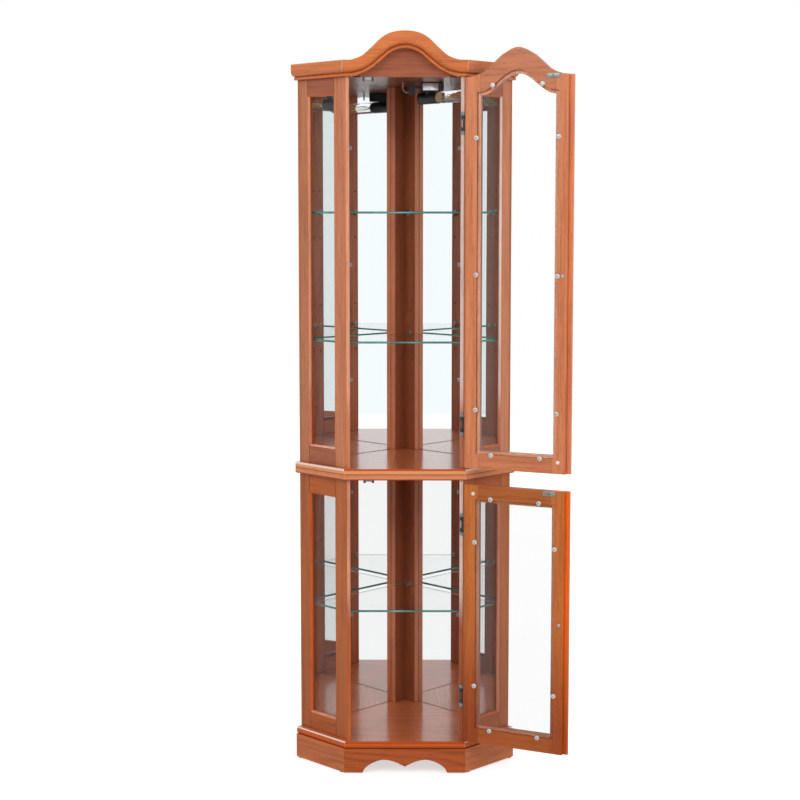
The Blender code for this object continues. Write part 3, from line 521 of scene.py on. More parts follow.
print("dressing the wood")
for index, level in enumerate(("upper", "lower")):
    for hand, side in sides.items():
        node = f"{level}_side_frame_{side}"
        levelStep, sideStep = woodSeeds["frame"]
        dress(sideFrameFinish(hand, level, node, levelStep * index + sideStep * hand), node)
    dress(postFinish(f"{level}_post_wood", woodSeeds["post"] + index), f"{level}_corner_post")

dress(topBoardFinish(), "top_board")
satin, raw = woodLook["roughness"], woodLook["rawRoughness"]
plainBoards = [  # node, material, directions of the grain and face, colours, seed, roughness, figure
    ("plinth_front", "plinth_front_wood", sidewise, inwards, ("plinthFront", "lower"), 21.0, satin, 1.7),
    ("header_panel", "header_wood", sidewise, inwards, ("header",), 27.0, satin, 0.4),
    ("rear_corner_block", "corner_block_wood", up, inwards, ("board",), 37.0, raw, 0.0),
]
for hand, side in sides.items():
    plinth, back = f"plinth_{side}", f"back_board_{side}"
    ways, colours = (sideways[hand], outwards[hand]), ("plinthSide", "edge")
    plainBoards.append((plinth, f"{plinth}_wood", *ways, colours, 24.0 - hand, satin, 0.8))
    ways, colours = (up, outwards[-hand]), ("board", "lower")
    plainBoards.append((back, f"{back}_wood", *ways, colours, 31.0 + hand, raw, 0.0))
for node, *look in plainBoards:
    dress(plainWood(*look), node)


boardLook = {
    "sheen": {"Coat_Roughness": 0.15, "Specular_IOR_Level": 0.15},
    "figure": 0.6,
    "figureMiddle": 0.19,  # behind the front
    "rimSeed": 5.0,
    "rimTones": (0.56, 0.36),
    "rimShare": 0.22,
    "mitreHalf": 0.0006,
    "mitreDepths": (0.001, -0.001),
    "mitreHeights": (0.80, 0.70),  # shares of the thickness
    "mitreShare": 0.15,
    # painted highlight along the upper rounding of the sides
    "sideHighlightStart": 0.0008,  # past the mitre
    "sideHighlightHeights": (0.76, 0.86),
    "sideHighlightShare": 0.85,
    "flatLimits": (0.92, 0.99),
    "floorCoat": 0.95,
    "floorRelief": 0.5,
    "roughness": 0.28,
    "roughnessSpread": 0.10,
    "bottom_board": (  # colours of the rim, from its lower edge to its upper one, with painted highlight on its light bands and painted shade on its underside and in the middle board's groove
        (0.00, (0.200, 0.030, 0.004)), (0.14, (0.430, 0.058, 0.004)), (0.42, (0.470, 0.078, 0.006)),
        (0.60, (0.540, 0.120, 0.014)), (0.74, (0.400, 0.045, 0.002)), (1.00, (0.470, 0.062, 0.003)),
    ),
    "middle_board": (
        (0.00, (0.150, 0.030, 0.008)), (0.09, (0.420, 0.076, 0.014)), (0.16, (0.620, 0.225, 0.105)),
        (0.44, (0.560, 0.190, 0.080)), (0.50, (0.330, 0.098, 0.036)), (0.56, (0.640, 0.250, 0.098)),
        (0.80, (0.660, 0.270, 0.110)), (0.86, (0.480, 0.072, 0.006)), (1.00, (0.440, 0.058, 0.004)),
    ),
}


def boardFinish(name, seed):
    # Figured floor on top, with a bright moulded rim whose bands of painted highlight and shade follow its
    # profile
    look = boardLook
    low, high = (corner.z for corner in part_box(name))
    wood = Wood(f"{name}_wood", **look["sheen"])
    across, depth = wood.along(sidewise), wood.along(inwards) - frontY
    height = wood.along(up)
    floor = wood.grain(across, depth - look["figureMiddle"], height, seed, look["figure"])
    rimTone, rimRelief = wood.grain(across, height, depth, seed + look["rimSeed"])
    share = (height - low) / (high - low)
    wood.start(floor, "floor")
    floorColour = wood.colour
    # The rim's colours by height, with painted highlight and shade across its profile
    wood.colour = wood.node("ValToRGB", {"Fac": share}, stops=look[name])
    wood.layPlain(rimTone.ramp(*look["rimTones"]) * look["rimShare"], "shadeAndGrainBrown")
    pastMitre = abs(across) - frontHalf + depth * mitreSlope
    mitre = pastMitre.line(look["mitreHalf"]) * depth.ramp(*look["mitreDepths"])
    wood.layPlain(mitre * share.ramp(*look["mitreHeights"]) * look["mitreShare"], "mitre")
    flat = wood.facing(up).ramp(*look["flatLimits"])
    # Painted highlight along the upper rounding of the left and right sides
    side = pastMitre.ramp(0.0, look["sideHighlightStart"]) * share.ramp(*look["sideHighlightHeights"]) * (1.0 - flat)
    wood.layPlain(side * look["sideHighlightShare"], "paleHighlight")
    relief = wood.relief * flat * look["floorRelief"] + rimRelief * (1.0 - flat)
    return wood.drive(
        Base_Color=wood.blend(flat, wood.colour, floorColour),
        Roughness=relief * look["roughnessSpread"] + look["roughness"],
        Coat_Weight=flat * look["floorCoat"], Normal=wood.bump(relief, woodLook["bumpHeight"]),
    )


corniceLook = {
    "sheen": {"Coat_Weight": 0.22, "Coat_Roughness": 0.14, "Specular_IOR_Level": 0.35},
    "hollowShade": (0.0100, 0.0106, 0.0128, 0.0145),  # how far out the painted shade in the hollow starts, fills, fades and ends
    "hollowShadeFace": (0.90, 0.60),
    "hollowShadeShare": 0.92,
    "rollEnds": (0.0190, 0.0150),
    "rollShare": 0.80,
    "mitreHalf": 0.0006,
    "mitreDepths": (-0.0155, -0.0175),
    "mitreShare": 0.60,
    "roughness": 0.28,
}


def corniceFinish(name, along, outward, origin, seed):
    # Orange moulding with a more orange roll below it, painted shade in the hollow between them and pale
    # mitres
    look = corniceLook
    wood = Wood(f"{name}_wood", **look["sheen"])
    out = wood.along(outward) - origin.dot(outward)
    lengthwise = wood.along(along) - origin.dot(along)
    wood.start(wood.grain(lengthwise, wood.along(up), out, seed), "cornice")
    wood.lay(out.ramp(*look["rollEnds"]) * look["rollShare"], "roll")
    start, full, fade, end = look["hollowShade"]
    # Painted shade in the hollow above the roll
    outerPart = wood.normal(outward).ramp(*look["hollowShadeFace"])
    hollowShade = out.ramp(start, full) * out.ramp(end, fade) * outerPart
    wood.layPlain(hollowShade * look["hollowShadeShare"], "shadeAndGrainBrown")
    depth = wood.along(inwards) - frontY
    pastMitre = abs(wood.along(sidewise)) - frontHalf + depth * mitreSlope
    mitre = pastMitre.line(look["mitreHalf"]) * depth.ramp(*look["mitreDepths"])
    wood.layPlain(mitre * look["mitreShare"], "mitre")
    return wood.close(look["roughness"])


print("dressing the moulded boards and the cornices")
for place in ("bottom", "middle"):
    dress(boardFinish(f"{place}_board", woodSeeds[place]), f"{place}_board")
cornices = {"front": (sidewise, -inwards, frontCorner[1], woodSeeds["cornice"][0])}
for hand, side in sides.items():
    cornices[side] = sideways[hand], outwards[hand], frontCorner[hand], woodSeeds["cornice"][1] - hand
for side, where in cornices.items():
    dress(corniceFinish(f"cornice_{side}", *where), f"cornice_{side}")


# Doors: worked out as if closed, then turned to where they stand

def doorTurn(level):
    joint = joints[f"{level}_door_hinge"]
    pivot = Vector(joint["pos_m"])
    angle = -math.radians(joint["range_deg"][0])
    return Matrix.Translation(pivot) @ Matrix.Rotation(angle, 4, "Z") @ Matrix.Translation(-pivot)


def closedBox(node, turn):
    back = turn.inverted()
    corners = [back @ vertex.co for vertex in nodes[node].data.vertices]
    return [
        Vector(tuple(end(corner[axis] for corner in corners) for axis in range(3)))
        for end in (min, max)
    ]


doorWood = {
    "seatDepths": (0.00496, 0.00558),  # of the seat of the glass, from the inner face
    "seatSoft": 0.002,
    "seatShare": 0.85,
    "lips": {"hinge_stile": (-1, 0.0069), "free_stile": (1, 0.0108)},  # side and width
    "lipBack": 0.60,  # share of the thickness
    "lipSoft": 0.001,
    "lipShare": 0.90,
    # painted shade in the crease between the lip and the inner part
    "creaseShadeHalf": 0.0006,
    "creaseShadeShare": 0.60,
    "lipColours": {"upper": "lip", "lower": "lowLip"},
    # painted shade on the walls at the opening
    "wallShadeLimits": (0.25, 0.55),
    "wallShadeShare": 0.92,
    "tones": {"hinge_stile": 1.0, "free_stile": 0.97, "top_rail": 0.80, "bottom_rail": 0.88},
    # shares of the painted shade towards the floor, on the lower door
    "floorShadeShares": {"hinge_stile": 0.90, "free_stile": 0.70, "top_rail": 0.0, "bottom_rail": 0.45},
}
turns = {level: doorTurn(level) for level in ("upper", "lower")}


def doorFinish(level, part, seed):
    # Face and lip, with painted shade on the wall at the opening and in the lip's crease, a pale seat
    # under the edge of the glass that is partly its wood and partly a painted reflection of the glass, and
    # painted shade towards the floor on the lower door
    look, node, turn = doorWood, f"{level}_door_{part}", turns[level]
    spin = turn.to_3x3()
    width, depth = spin @ sidewise, spin @ inwards
    origin = turn @ Vector((0.0, 0.0, 0.0))
    low, high = closedBox(node, turn)
    wood = Wood(f"{node}_wood", **woodLook["sheen"][level])
    across = wood.along(width) - origin.dot(width)
    through = wood.along(depth) - origin.dot(depth)
    height = wood.along(up)
    lengthwise, sideway = (across, height) if part.endswith("rail") else (height, across)
    grain = wood.grain(lengthwise, sideway, through, seed)
    wood.start(grain, f"{level}Door", look["tones"][part])
    isBack = wood.normal(depth).ramp(*faced)
    lipBack = low.y + (high.y - low.y) * look["lipBack"]
    onLip = through.ramp(lipBack, lipBack - look["lipSoft"]) * isBack
    if part == "free_stile":
        turned = wood.facing(depth).ramp(*turnedAway)
        wood.lay(turned.most(onLip) * look["lipShare"], look["lipColours"][level])
    # Painted shade on the wall of the opening
    inner = {"hinge_stile": -width, "free_stile": width, "top_rail": -up, "bottom_rail": up}[part]
    wood.lay(wood.normal(inner).ramp(*look["wallShadeLimits"]) * look["wallShadeShare"], "shadeAndGrainBrown")
    seatWithReflection = through.ramp(*(high.y - seatDepth for seatDepth in look["seatDepths"])) * isBack
    if part in look["lips"]:
        hand, lipWidth = look["lips"][part]
        corner = (low.x if hand > 0 else high.x) + hand * lipWidth
        inward = (across - corner) * hand
        seatWithReflection = seatWithReflection * inward.ramp(0.0, look["seatSoft"])
        # Painted shade in the crease between the lip and the inner part
        creaseShade = (inward + look["creaseShadeHalf"]).line(look["creaseShadeHalf"]) * onLip
        wood.layPlain(creaseShade * look["creaseShadeShare"], "shadeAndGrainBrown")
    if part == "bottom_rail":
        seatWithReflection = seatWithReflection * (height - (low.z + high.z) / 2).ramp(0.0, look["seatSoft"])
    # The seat under the edge of the glass: its wood, with a painted reflection of the glass
    if part != "top_rail":
        wood.lay(seatWithReflection * look["seatShare"], "seatWithReflection")
    # Painted shade towards the floor on the lower door
    if level == "lower":
        wood.paintFloorShade(height, look["floorShadeShares"][part])
    return wood.close()


print("dressing the doors")
seed, partStep, doorStep = woodSeeds["door"]
for index, level in enumerate(turns):
    for place, part in enumerate(doorWood["tones"]):
        finish = doorFinish(level, part, seed + partStep * place + doorStep * index)
        dress(finish, f"{level}_door_{part}")


# Glass, mirrors and metal

glassLook = {
    "smear": 0.004,  # roughness of the faint smears
    "smearLimits": (0.45, 0.75),
    "lampTint": (0.97, 0.99, 0.98),
    "paneBend": 1.20,
    "paneSmears": (0.09, 0.09, 0.16),
    "clearTint": (0.990, 0.997, 0.993),
    "greyTint": (0.885, 0.890, 0.888),  # the side glasses and the lower door's, a little greyer
    "shelfBend": 1.30,
    "shelfSmears": (0.08, 0.08, 0.08),
    "shelfTint": (0.965, 0.992, 0.982),
    "edgeLimits": (0.70, 0.30),
    "edgeSpots": (0.05, 0.05, 0.05),
    "edgeRoughness": 0.22,
    "edges": ((0.30, (0.022, 0.145, 0.125)), (0.50, (0.045, 0.205, 0.175)), (0.68, (0.115, 0.330, 0.285))),
}


def glassFinish(name, colour, bend, smears):
    # Clear, with faint smears that only its gloss shows
    finish = Finish(name, Transmission_Weight=1.0, IOR=bend)
    smear = finish.speckle(smears).ramp(*glassLook["smearLimits"])
    finish.drive(Roughness=smear * glassLook["smear"], Base_Color=colour)
    return finish


def letLampsThrough(finish, surface, colour=glassLook["lampTint"]):
    # Lamps shine through the glass, as they do through a thin pane
    clear = finish.node("BsdfTransparent", {"Color": colour})
    path = finish.node("LightPath", output="Is Shadow Ray")
    mixed = finish.node("MixShader", {0: path, 1: surface, 2: clear})
    finish.feed(finish.output.inputs["Surface"], mixed)
    return finish.material


def partlySolid(finish, solid, colour, roughness, tint=glassLook["lampTint"]):
    # Glass that turns this solid, where it lets no light through
    cover = finish.node("BsdfPrincipled", {"Base Color": colour, "Roughness": roughness})
    both = finish.node("MixShader", {0: solid, 1: finish.surface(), 2: cover})
    return letLampsThrough(finish, both, tint)


def paneFinish(name, colour):
    finish = glassFinish(name, colour, glassLook["paneBend"], glassLook["paneSmears"])
    return letLampsThrough(finish, finish.surface())


def shelfFinish(name):
    # Clear on its faces, and sea green along its cut edges, which scatter the light
    look = glassLook
    finish = glassFinish(name, look["shelfTint"], look["shelfBend"], look["shelfSmears"])
    sea = finish.speckle(look["edgeSpots"])
    green = finish.node("ValToRGB", {"Fac": sea}, stops=look["edges"])
    edge = finish.facing(up).ramp(*look["edgeLimits"])
    return partlySolid(finish, edge, green, look["edgeRoughness"], look["shelfTint"])


mirrorLook = {
    "upper": (0.955, 0.985, 0.992),
    "lower": (0.900, 0.905, 0.905),
    "border": (0.200, 0.150, 0.130),
    "borderLimits": (0.00065, 0.00050),
    "borderRoughness": 0.4,
    "hazeSpots": (0.12, 0.12, 0.20),
    "hazeLimits": (0.5, 0.8),
    "haze": 0.010,
}


def mirrorFinish(node, level):
    # Silver that stops short of the glass's edge at the bottom
    look = mirrorLook
    finish = Finish(f"{node}_silver", Metallic=1.0)
    border = (finish.along(up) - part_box(node)[0].z).ramp(*look["borderLimits"])
    haze = finish.speckle(look["hazeSpots"], patchy).ramp(*look["hazeLimits"])
    return finish.drive(
        Base_Color=finish.blend(border, look[level], look["border"]),
        Roughness=haze * look["haze"] + border * look["borderRoughness"],
    )


print("dressing the glass and mirrors")
dress(paneFinish("clear_pane_glass", glassLook["clearTint"]), "upper_door_glass")
pane = paneFinish("pane_glass", glassLook["greyTint"])
dress(pane, "lower_door_glass")
for level in turns:
    for side in sides.values():
        dress(pane, f"{level}_side_glass_{side}")
        dress(mirrorFinish(f"{level}_mirror_{side}", level), f"{level}_mirror_{side}")
dress(shelfFinish("shelf_glass"), "glass_shelf_1", "glass_shelf_2", "glass_shelf_3")


metalLook = {
    "grains": (0.0012, 0.0012, 0.0072),
    "tarnish": (0.012, 0.012, 0.012),
    "tarnishLimits": (0.40, 0.70),
    "tarnishShare": 0.6,
    "darkShare": 0.62,
    "roughnessSpread": 0.16,
    "bumpHeight": 0.00003,
}
metalColours = {  # with the roughness
    "clip_steel": ((0.30, 0.30, 0.29), 0.28),
    "screw_steel": ((0.42, 0.42, 0.43), 0.25),
    "knob_brass": ((0.42, 0.26, 0.10), 0.30),
    "filament_gold": ((0.85, 0.50, 0.14), 0.28),
    "strike_steel": ((0.26, 0.25, 0.225), 0.36),
    "lamp_plate_metal": ((0.90, 0.88, 0.91), 0.26),
}


def wornMetal(finish, colours, roughness, look=metalLook, ends=None):
    # Tarnished in patches, and brighter at its ends: how much, and what colour
    grains = finish.speckle(look["grains"])
    tarnish = finish.speckle(look["tarnish"], patchy).ramp(*metalLook["tarnishLimits"])
    colour = finish.blend(tarnish * metalLook["tarnishShare"], *colours)
    if ends:
        colour = finish.blend(ends[0], colour, ends[1])
    return finish.drive(
        Base_Color=colour, Roughness=grains * metalLook["roughnessSpread"] + roughness,
        Normal=finish.bump(grains, metalLook["bumpHeight"]),
    )


def metalFinish(name, colour, roughness):
    dark = tuple(part * metalLook["darkShare"] for part in colour)
    return wornMetal(Finish(name, Metallic=1.0), (colour, dark), roughness)


hingeLook = {
    "grains": (0.0012, 0.0012, 0.0060),
    "tarnish": (0.010, 0.010, 0.014),
    "colours": ((0.062, 0.064, 0.060), (0.022, 0.024, 0.023)),
    "roughness": 0.26,
    "endColour": (0.30, 0.31, 0.34),
    "endLimits": (0.66, 0.74),  # shares of the half height
    "endShares": {"frame_leaf": 0.75, "door_leaf": 0.35},
}


def hingeFinish(node, part):
    # Dark worn plating, brighter at the ends of the knuckles
    look = hingeLook
    low, high = (corner.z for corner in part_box(node))
    finish = Finish(f"{node}_nickel", Metallic=1.0)
    fromMiddle = abs(finish.along(up) - (low + high) / 2) / ((high - low) / 2)
    bright = fromMiddle.ramp(*look["endLimits"]) * look["endShares"][part]
    return wornMetal(finish, look["colours"], look["roughness"], look, (bright, look["endColour"]))


plasticLook = {
    "texture": (0.0009, 0.0009, 0.0009),
    "patches": (0.03, 0.03, 0.03),
    "patchLimits": (0.35, 0.75),
    "patchShare": 0.5,
    "darkShare": 0.72,
    "roughnessSpread": 0.15,
    "bumpHeight": 0.00004,
}
plasticColours = {  # with the roughness
    "lamp_black": ((0.012, 0.013, 0.016), 0.30),
    "clip_white": ((0.62, 0.62, 0.61), 0.30),
    "strike_screw_grey": ((0.10, 0.10, 0.10), 0.40),
    "lead_sheath": ((0.30, 0.27, 0.25), 0.40),
    "glide_black": ((0.020, 0.020, 0.020), 0.50),
}


def plastic(name, colour, roughness):
    # A moulded finish, and its colour for a finish that adds something to it
    look = plasticLook
    finish = Finish(name)
    texture = finish.speckle(look["texture"])
    patches = finish.speckle(look["patches"]).ramp(*look["patchLimits"])
    dark = tuple(part * look["darkShare"] for part in colour)
    finish.drive(
        Roughness=texture * look["roughnessSpread"] + roughness,
        Normal=finish.bump(texture, look["bumpHeight"]),
    )
    return finish, finish.blend(patches * look["patchShare"], colour, dark)


def plasticFinish(name, colour, roughness):
    finish, shade = plastic(name, colour, roughness)
    return finish.drive(Base_Color=shade)


catchLook = {
    "colour": (0.014, 0.015, 0.017),
    "roughness": 0.34,
    "magnetWidth": 0.62,  # share of the half width
    "magnetFace": (0.60, 0.90),
    "magnetColour": (0.34, 0.40, 0.42),
    "magnetShare": 0.90,
}


def catchFinish(level):
    # Black ends and a pale magnet between them
    look = catchLook
    low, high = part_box(f"{level}_door_catch")
    finish, shade = plastic(f"{level}_catch_plastic", look["colour"], look["roughness"])
    middle, half = (low.x + high.x) / 2, (high.x - low.x) / 2
    magnet = (finish.along(sidewise) - middle).line(half * look["magnetWidth"])
    magnet = magnet * finish.facing(inwards).ramp(*look["magnetFace"])
    return finish.drive(Base_Color=finish.blend(magnet * look["magnetShare"], shade, look["magnetColour"]))


bulbLook = {
    "cap": 0.0080,
    "ring": 0.0030,
    "soft": 0.0005,
    "white": (0.72, 0.74, 0.78),
    "gold": (0.75, 0.42, 0.08),
    "capRoughness": 0.30,
    "smears": (0.02, 0.02, 0.02),
}
bulbPoints = [vertex.co for vertex in nodes["lamp_bulb"].data.vertices]


def bulbReach(axis):
    places = [point.dot(axis) for point in bulbPoints]
    return max(places) - min(places), axis.dot(-inwards)


bulbAxis = max((sign * side for side in sideways.values() for sign in sides), key=bulbReach)
bulbStart = min(point.dot(bulbAxis) for point in bulbPoints)


def bulbFinish():
    # Clear glass, with a pale disc and a gold ring where it enters the holder
    look = bulbLook
    finish = glassFinish("bulb_glass", glassLook["clearTint"], glassLook["paneBend"], look["smears"])
    reach = finish.along(bulbAxis) - bulbStart
    ring = reach.ramp(look["ring"], look["ring"] + look["soft"])
    capColour = finish.blend(ring, look["white"], look["gold"])
    isCap = reach.ramp(look["cap"] + look["soft"], look["cap"])
    return partlySolid(finish, isCap, capColour, look["capRoughness"])


print("dressing the metal and plastic")
metals = {name: metalFinish(name, *look) for name, look in metalColours.items()}
plastics = {name: plasticFinish(name, *look) for name, look in plasticColours.items()}
for level in turns:
    dress(metals["knob_brass"], f"{level}_door_knob")
    dress(catchFinish(level), f"{level}_door_catch")
    for number in (1, 2):
        for part in hingeLook["endShares"]:
            node = f"{level}_hinge_{number}_{part}"
            dress(hingeFinish(node, part), node)
dress(plastics["lamp_black"], "lamp_holder")
dress(plastics["lead_sheath"], "lamp_lead")
dress(bulbFinish(), "lamp_bulb")
glidePlaces = ("front_right", "rear_right", "rear_centre", "front_left", "rear_left")
dress(plastics["glide_black"], *(f"glide_{place}" for place in glidePlaces))


# New small pieces

shapeLook = {  # how many sides and steps the round parts of small shapes have
    "disc": 20, "discRim": 3, "plateCorners": 6, "plateRim": 2, "floor": 96,
    "upper": 0.9,  # share of the thickness, above which an edge is an upper one
    "smooth": 35.0,  # degrees between faces, up to which they shade as one
}


def bevelEdges(bm, edges, offset, segments):
    bmesh.ops.bevel(
        bm, geom=edges, offset=offset, segments=segments, profile=0.5, affect="EDGES", material=-1
    )


def upperEdges(bm, thickness):
    level = thickness * shapeLook["upper"]
    return [edge for edge in bm.edges if min(vert.co.z for vert in edge.verts) > level]


def disc(radius, thickness, rounding, around=shapeLook["disc"]):
    # A disc that lies on the plane through the origin, its upper rim rounded
    bm = bmesh.new()
    bmesh.ops.create_cone(
        bm, cap_ends=True, segments=around, radius1=radius, radius2=radius, depth=thickness
    )
    bmesh.ops.translate(bm, verts=bm.verts, vec=(0, 0, thickness / 2))
    bevelEdges(bm, upperEdges(bm, thickness), rounding, shapeLook["discRim"])
    return bm


crossLook = {  # shares of the head's radius and thickness
    "rounding": 0.55, "arm": 0.55, "half": 0.13, "draft": 0.10, "depth": 0.50, "around": 18,
    "upwards": 0.9,  # how square on +Z its upper face is
    "snap": 1e-7,  # metres from a corner, up to which a cut goes through the corner
}


def crossHead(radius, thickness):
    # A screw head with a cross cut into it
    look = crossLook
    bm = disc(radius, thickness, thickness * look["rounding"], look["around"])
    arm, half = radius * look["arm"], radius * look["half"]
    for axis in (0, 1):
        for place in (-arm, -half, half, arm):
            point, normal = Vector((0, 0, 0)), Vector((0, 0, 0))
            point[axis], normal[axis] = place, 1.0
            geometry = [*bm.verts, *bm.edges, *bm.faces]
            bmesh.ops.bisect_plane(bm, geom=geometry, plane_co=point, plane_no=normal, dist=look["snap"])
    cross = []
    for face in bm.faces:
        middle = face.calc_center_median()
        near, far = sorted((abs(middle.x), abs(middle.y)))
        if face.normal.z > look["upwards"] and near < half and far < arm:
            cross.append(face)
    draft, depth = half * look["draft"], thickness * look["depth"]
    bmesh.ops.inset_region(bm, faces=cross, thickness=draft, depth=-depth)
    return bm


def plate(size, corner, rim):
    # A plate that lies on the plane through the origin, with round corners and a soft upper rim
    thickness = size[2]
    bm = bmesh.new()
    bmesh.ops.create_cube(bm, size=1.0)
    bmesh.ops.scale(bm, verts=bm.verts, vec=size)
    corners = [e for e in bm.edges if abs(e.verts[0].co.z - e.verts[1].co.z) > thickness / 2]
    bevelEdges(bm, corners, corner, shapeLook["plateCorners"])
    bmesh.ops.translate(bm, verts=bm.verts, vec=(0, 0, thickness / 2))
    bevelEdges(bm, upperEdges(bm, thickness), rim, shapeLook["plateRim"])
    return bm


def settleOrder(bm):
    # Bevels and cuts leave corners and faces in an order that would change from run to run
    middles = (lambda vert: vert.co), (lambda face: face.calc_center_median())
    for parts, middle in zip((bm.verts, bm.faces), middles):
        ordered = sorted(parts, key=lambda part: tuple(middle(part)))
        ranks = {part: rank for rank, part in enumerate(ordered)}
        parts.sort(key=ranks.get)


def addPiece(name, copies, material, body):
    # One piece made of copies, each a shape and the place where it stands
    whole = bmesh.new()
    for shape, place in copies:
        copy = bpy.data.meshes.new("copy")
        shape.to_mesh(copy)
        copy.transform(place)
        whole.from_mesh(copy)
        bpy.data.meshes.remove(copy)
    settleOrder(whole)
    mesh = bpy.data.meshes.new(name)
    whole.to_mesh(mesh)
    whole.free()
    mesh.shade_smooth()
    mesh.set_sharp_from_angle(angle=math.radians(shapeLook["smooth"]))
    mesh.materials.append(material)
    obj = addObject(name, mesh)
    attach(obj, body)


def onWall(point, normal):
    # From a shape that points along +Z to an upright face, with its width level
    turn = Matrix((up.cross(normal), up, normal)).transposed().to_4x4()
    return Matrix.Translation(point) @ turn


clearance = 0.0001  # between a new piece and the face that it lies on
fittingLook = {
    "clipRadius": 0.0056,
    "clipThickness": 0.0026,
    "clipRounding": 0.45,  # share of the thickness
    "clipInset": 0.0094,  # its centre from the edge of the opening
    "clipAcrossShare": 0.666,  # of the half opening, on the rails
    "clipHeightShares": {"upper": (-0.766, 0.0, 0.766), "lower": (-0.645, 0.645)},
    "clipScrew": (0.0032, 0.0013),
    "archClipRise": 0.26,  # share of the arch's rise at its clips
    "archClipInset": 0.90,  # share of the inset there
    "knobScrew": (0.0042, 0.0014),
    "bumper": (0.0046, 0.0016, 0.0008),
    "bumperOut": 0.0045,  # outside the line of the clips
    "bumperPlaces": {"upper": (-1, 0.0160), "lower": (1, -0.0205)},  # below the opening, or above it
    "strikeSize": (0.034, 0.0115, 0.0009),
    "strikeRounding": (0.00483, 0.00036),
    "strikeRise": {"upper": 0.0407, "lower": -0.0070},  # from the shoulder, or from the door's top
    "strikeScrew": (0.0034, 0.0011),  # sunk in its plate
}


def addClips(names, body, spot, places, moreScrews=()):
    # Glass clips and the screws in them, where spot gives the matrix of each place
    look = fittingLook
    thickness = look["clipThickness"]
    clip = disc(look["clipRadius"], thickness, thickness * look["clipRounding"])
    screw = crossHead(*look["clipScrew"])
    addPiece(names[0], [(clip, spot(*place)) for place in places], plastics["clip_white"], body)
    screws = [(screw, spot(*place, thickness)) for place in places]
    addPiece(names[1], [*screws, *moreScrews], metals["screw_steel"], body)


def makeDoorFittings(level):
    # What is screwed to the inner face of a door
    look = fittingLook
    turn, body = turns[level], f"{level}_door"
    parts = ("free_stile", "bottom_rail", "glass", "top_rail", "knob")
    stile, bottom, glass, top, knob = (closedBox(f"{body}_{part}", turn) for part in parts)
    backY = stile[1].y + clearance

    def onBack(x, z, rise=0.0):
        # From a shape that points along +Z to the inner face, which points along +Y
        return turn @ Matrix.Translation((x, backY + rise, z)) @ Matrix.Rotation(-math.pi / 2, 4, "X")

    openHalf, openLow, shoulder = -stile[1].x, bottom[1].z, top[0].z
    across = openHalf + look["clipInset"]
    aboveClip = shoulder + look["clipInset"]
    if level == "upper":
        aboveClip = shoulder + look["clipInset"] * look["archClipInset"]
        aboveClip = aboveClip + (glass[1].z - shoulder) * look["archClipRise"]
    middle, half = (openLow + shoulder) / 2, (shoulder - openLow) / 2
    places = [
        (hand * look["clipAcrossShare"] * openHalf, z)
        for hand in sides for z in (openLow - look["clipInset"], aboveClip)
    ]
    for share in look["clipHeightShares"][level]:
        places += [(hand * across, middle + share * half) for hand in sides]
    knobMiddle = (knob[0] + knob[1]) / 2
    knobScrew = crossHead(*look["knobScrew"]), onBack(knobMiddle.x, knobMiddle.z)
    addClips((f"{body}_clips", f"{body}_screws"), body, onBack, places, [knobScrew])

    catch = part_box(f"{body}_catch")
    strikeZ = (top[1].z if level == "lower" else shoulder) + look["strikeRise"][level]
    place = onBack((catch[0].x + catch[1].x) / 2, strikeZ)
    strike = plate(look["strikeSize"], *look["strikeRounding"])
    addPiece(f"{body}_strike", [(strike, place)], metals["strike_steel"], body)
    sunkScrew = crossHead(*look["strikeScrew"])
    addPiece(f"{body}_strike_screw", [(sunkScrew, place)], plastics["strike_screw_grey"], body)

    hand, drop = look["bumperPlaces"][level]
    place = onBack(hand * (across + look["bumperOut"]), (openLow if drop > 0 else shoulder) - drop)
    addPiece(f"{body}_bumper", [(disc(*look["bumper"]), place)], plastics["clip_white"], body)


print("making the door fittings")
for level in turns:
    makeDoorFittings(level)


sideLook = {
    "openings": (0.0455, 0.0400),  # edge of the opening from the front and from the rear
    "bevel": 0.0040,  # between the rails and the opening
    "pegs": (0.0175, 0.0220),  # shelf pins from the front corner and from the back
    "postPeg": 0.0190,
    "shelfClip": (0.0080, 0.0112, 0.0010),
    "shelfClipRounding": (0.0024, 0.0004),
    "shelfClipRise": 0.0060,  # above the top of its shelf
}


def onSide(hand, along, height, rise=0.0):
    # A place on the inner face of a side frame
    depth = frameLook["thickness"] + clearance
    point = frontCorner[hand] + sideways[hand] * along - outwards[hand] * depth + up * height
    return onWall(point, -outwards[hand]) @ Matrix.Translation((0.0, 0.0, rise))


def makeSideFittings(level):
    # Clips that hold the side glass, screwed to the inner faces of the frames
    look = sideLook
    low, high = (corner.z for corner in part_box(f"{level}_side_frame_right"))
    lowRail, highRail = frameLook["rails"][level]
    openLow, openHigh = low + lowRail + look["bevel"], high - highRail - look["bevel"]
    middle, half = (openLow + openHigh) / 2, (openHigh - openLow) / 2
    front, rear = look["openings"][0], sideLength - look["openings"][1]
    inset = fittingLook["clipInset"]
    spots = [((front + rear) / 2, openLow - inset), ((front + rear) / 2, openHigh + inset)]
    for share in fittingLook["clipHeightShares"][level]:
        spots.append((front - inset, middle + share * half))
    places = [(hand, *spot) for hand in sides for spot in spots]
    names = f"{level}_side_clips", f"{level}_side_clip_screws"
    addClips(names, "cabinet", onSide, places)


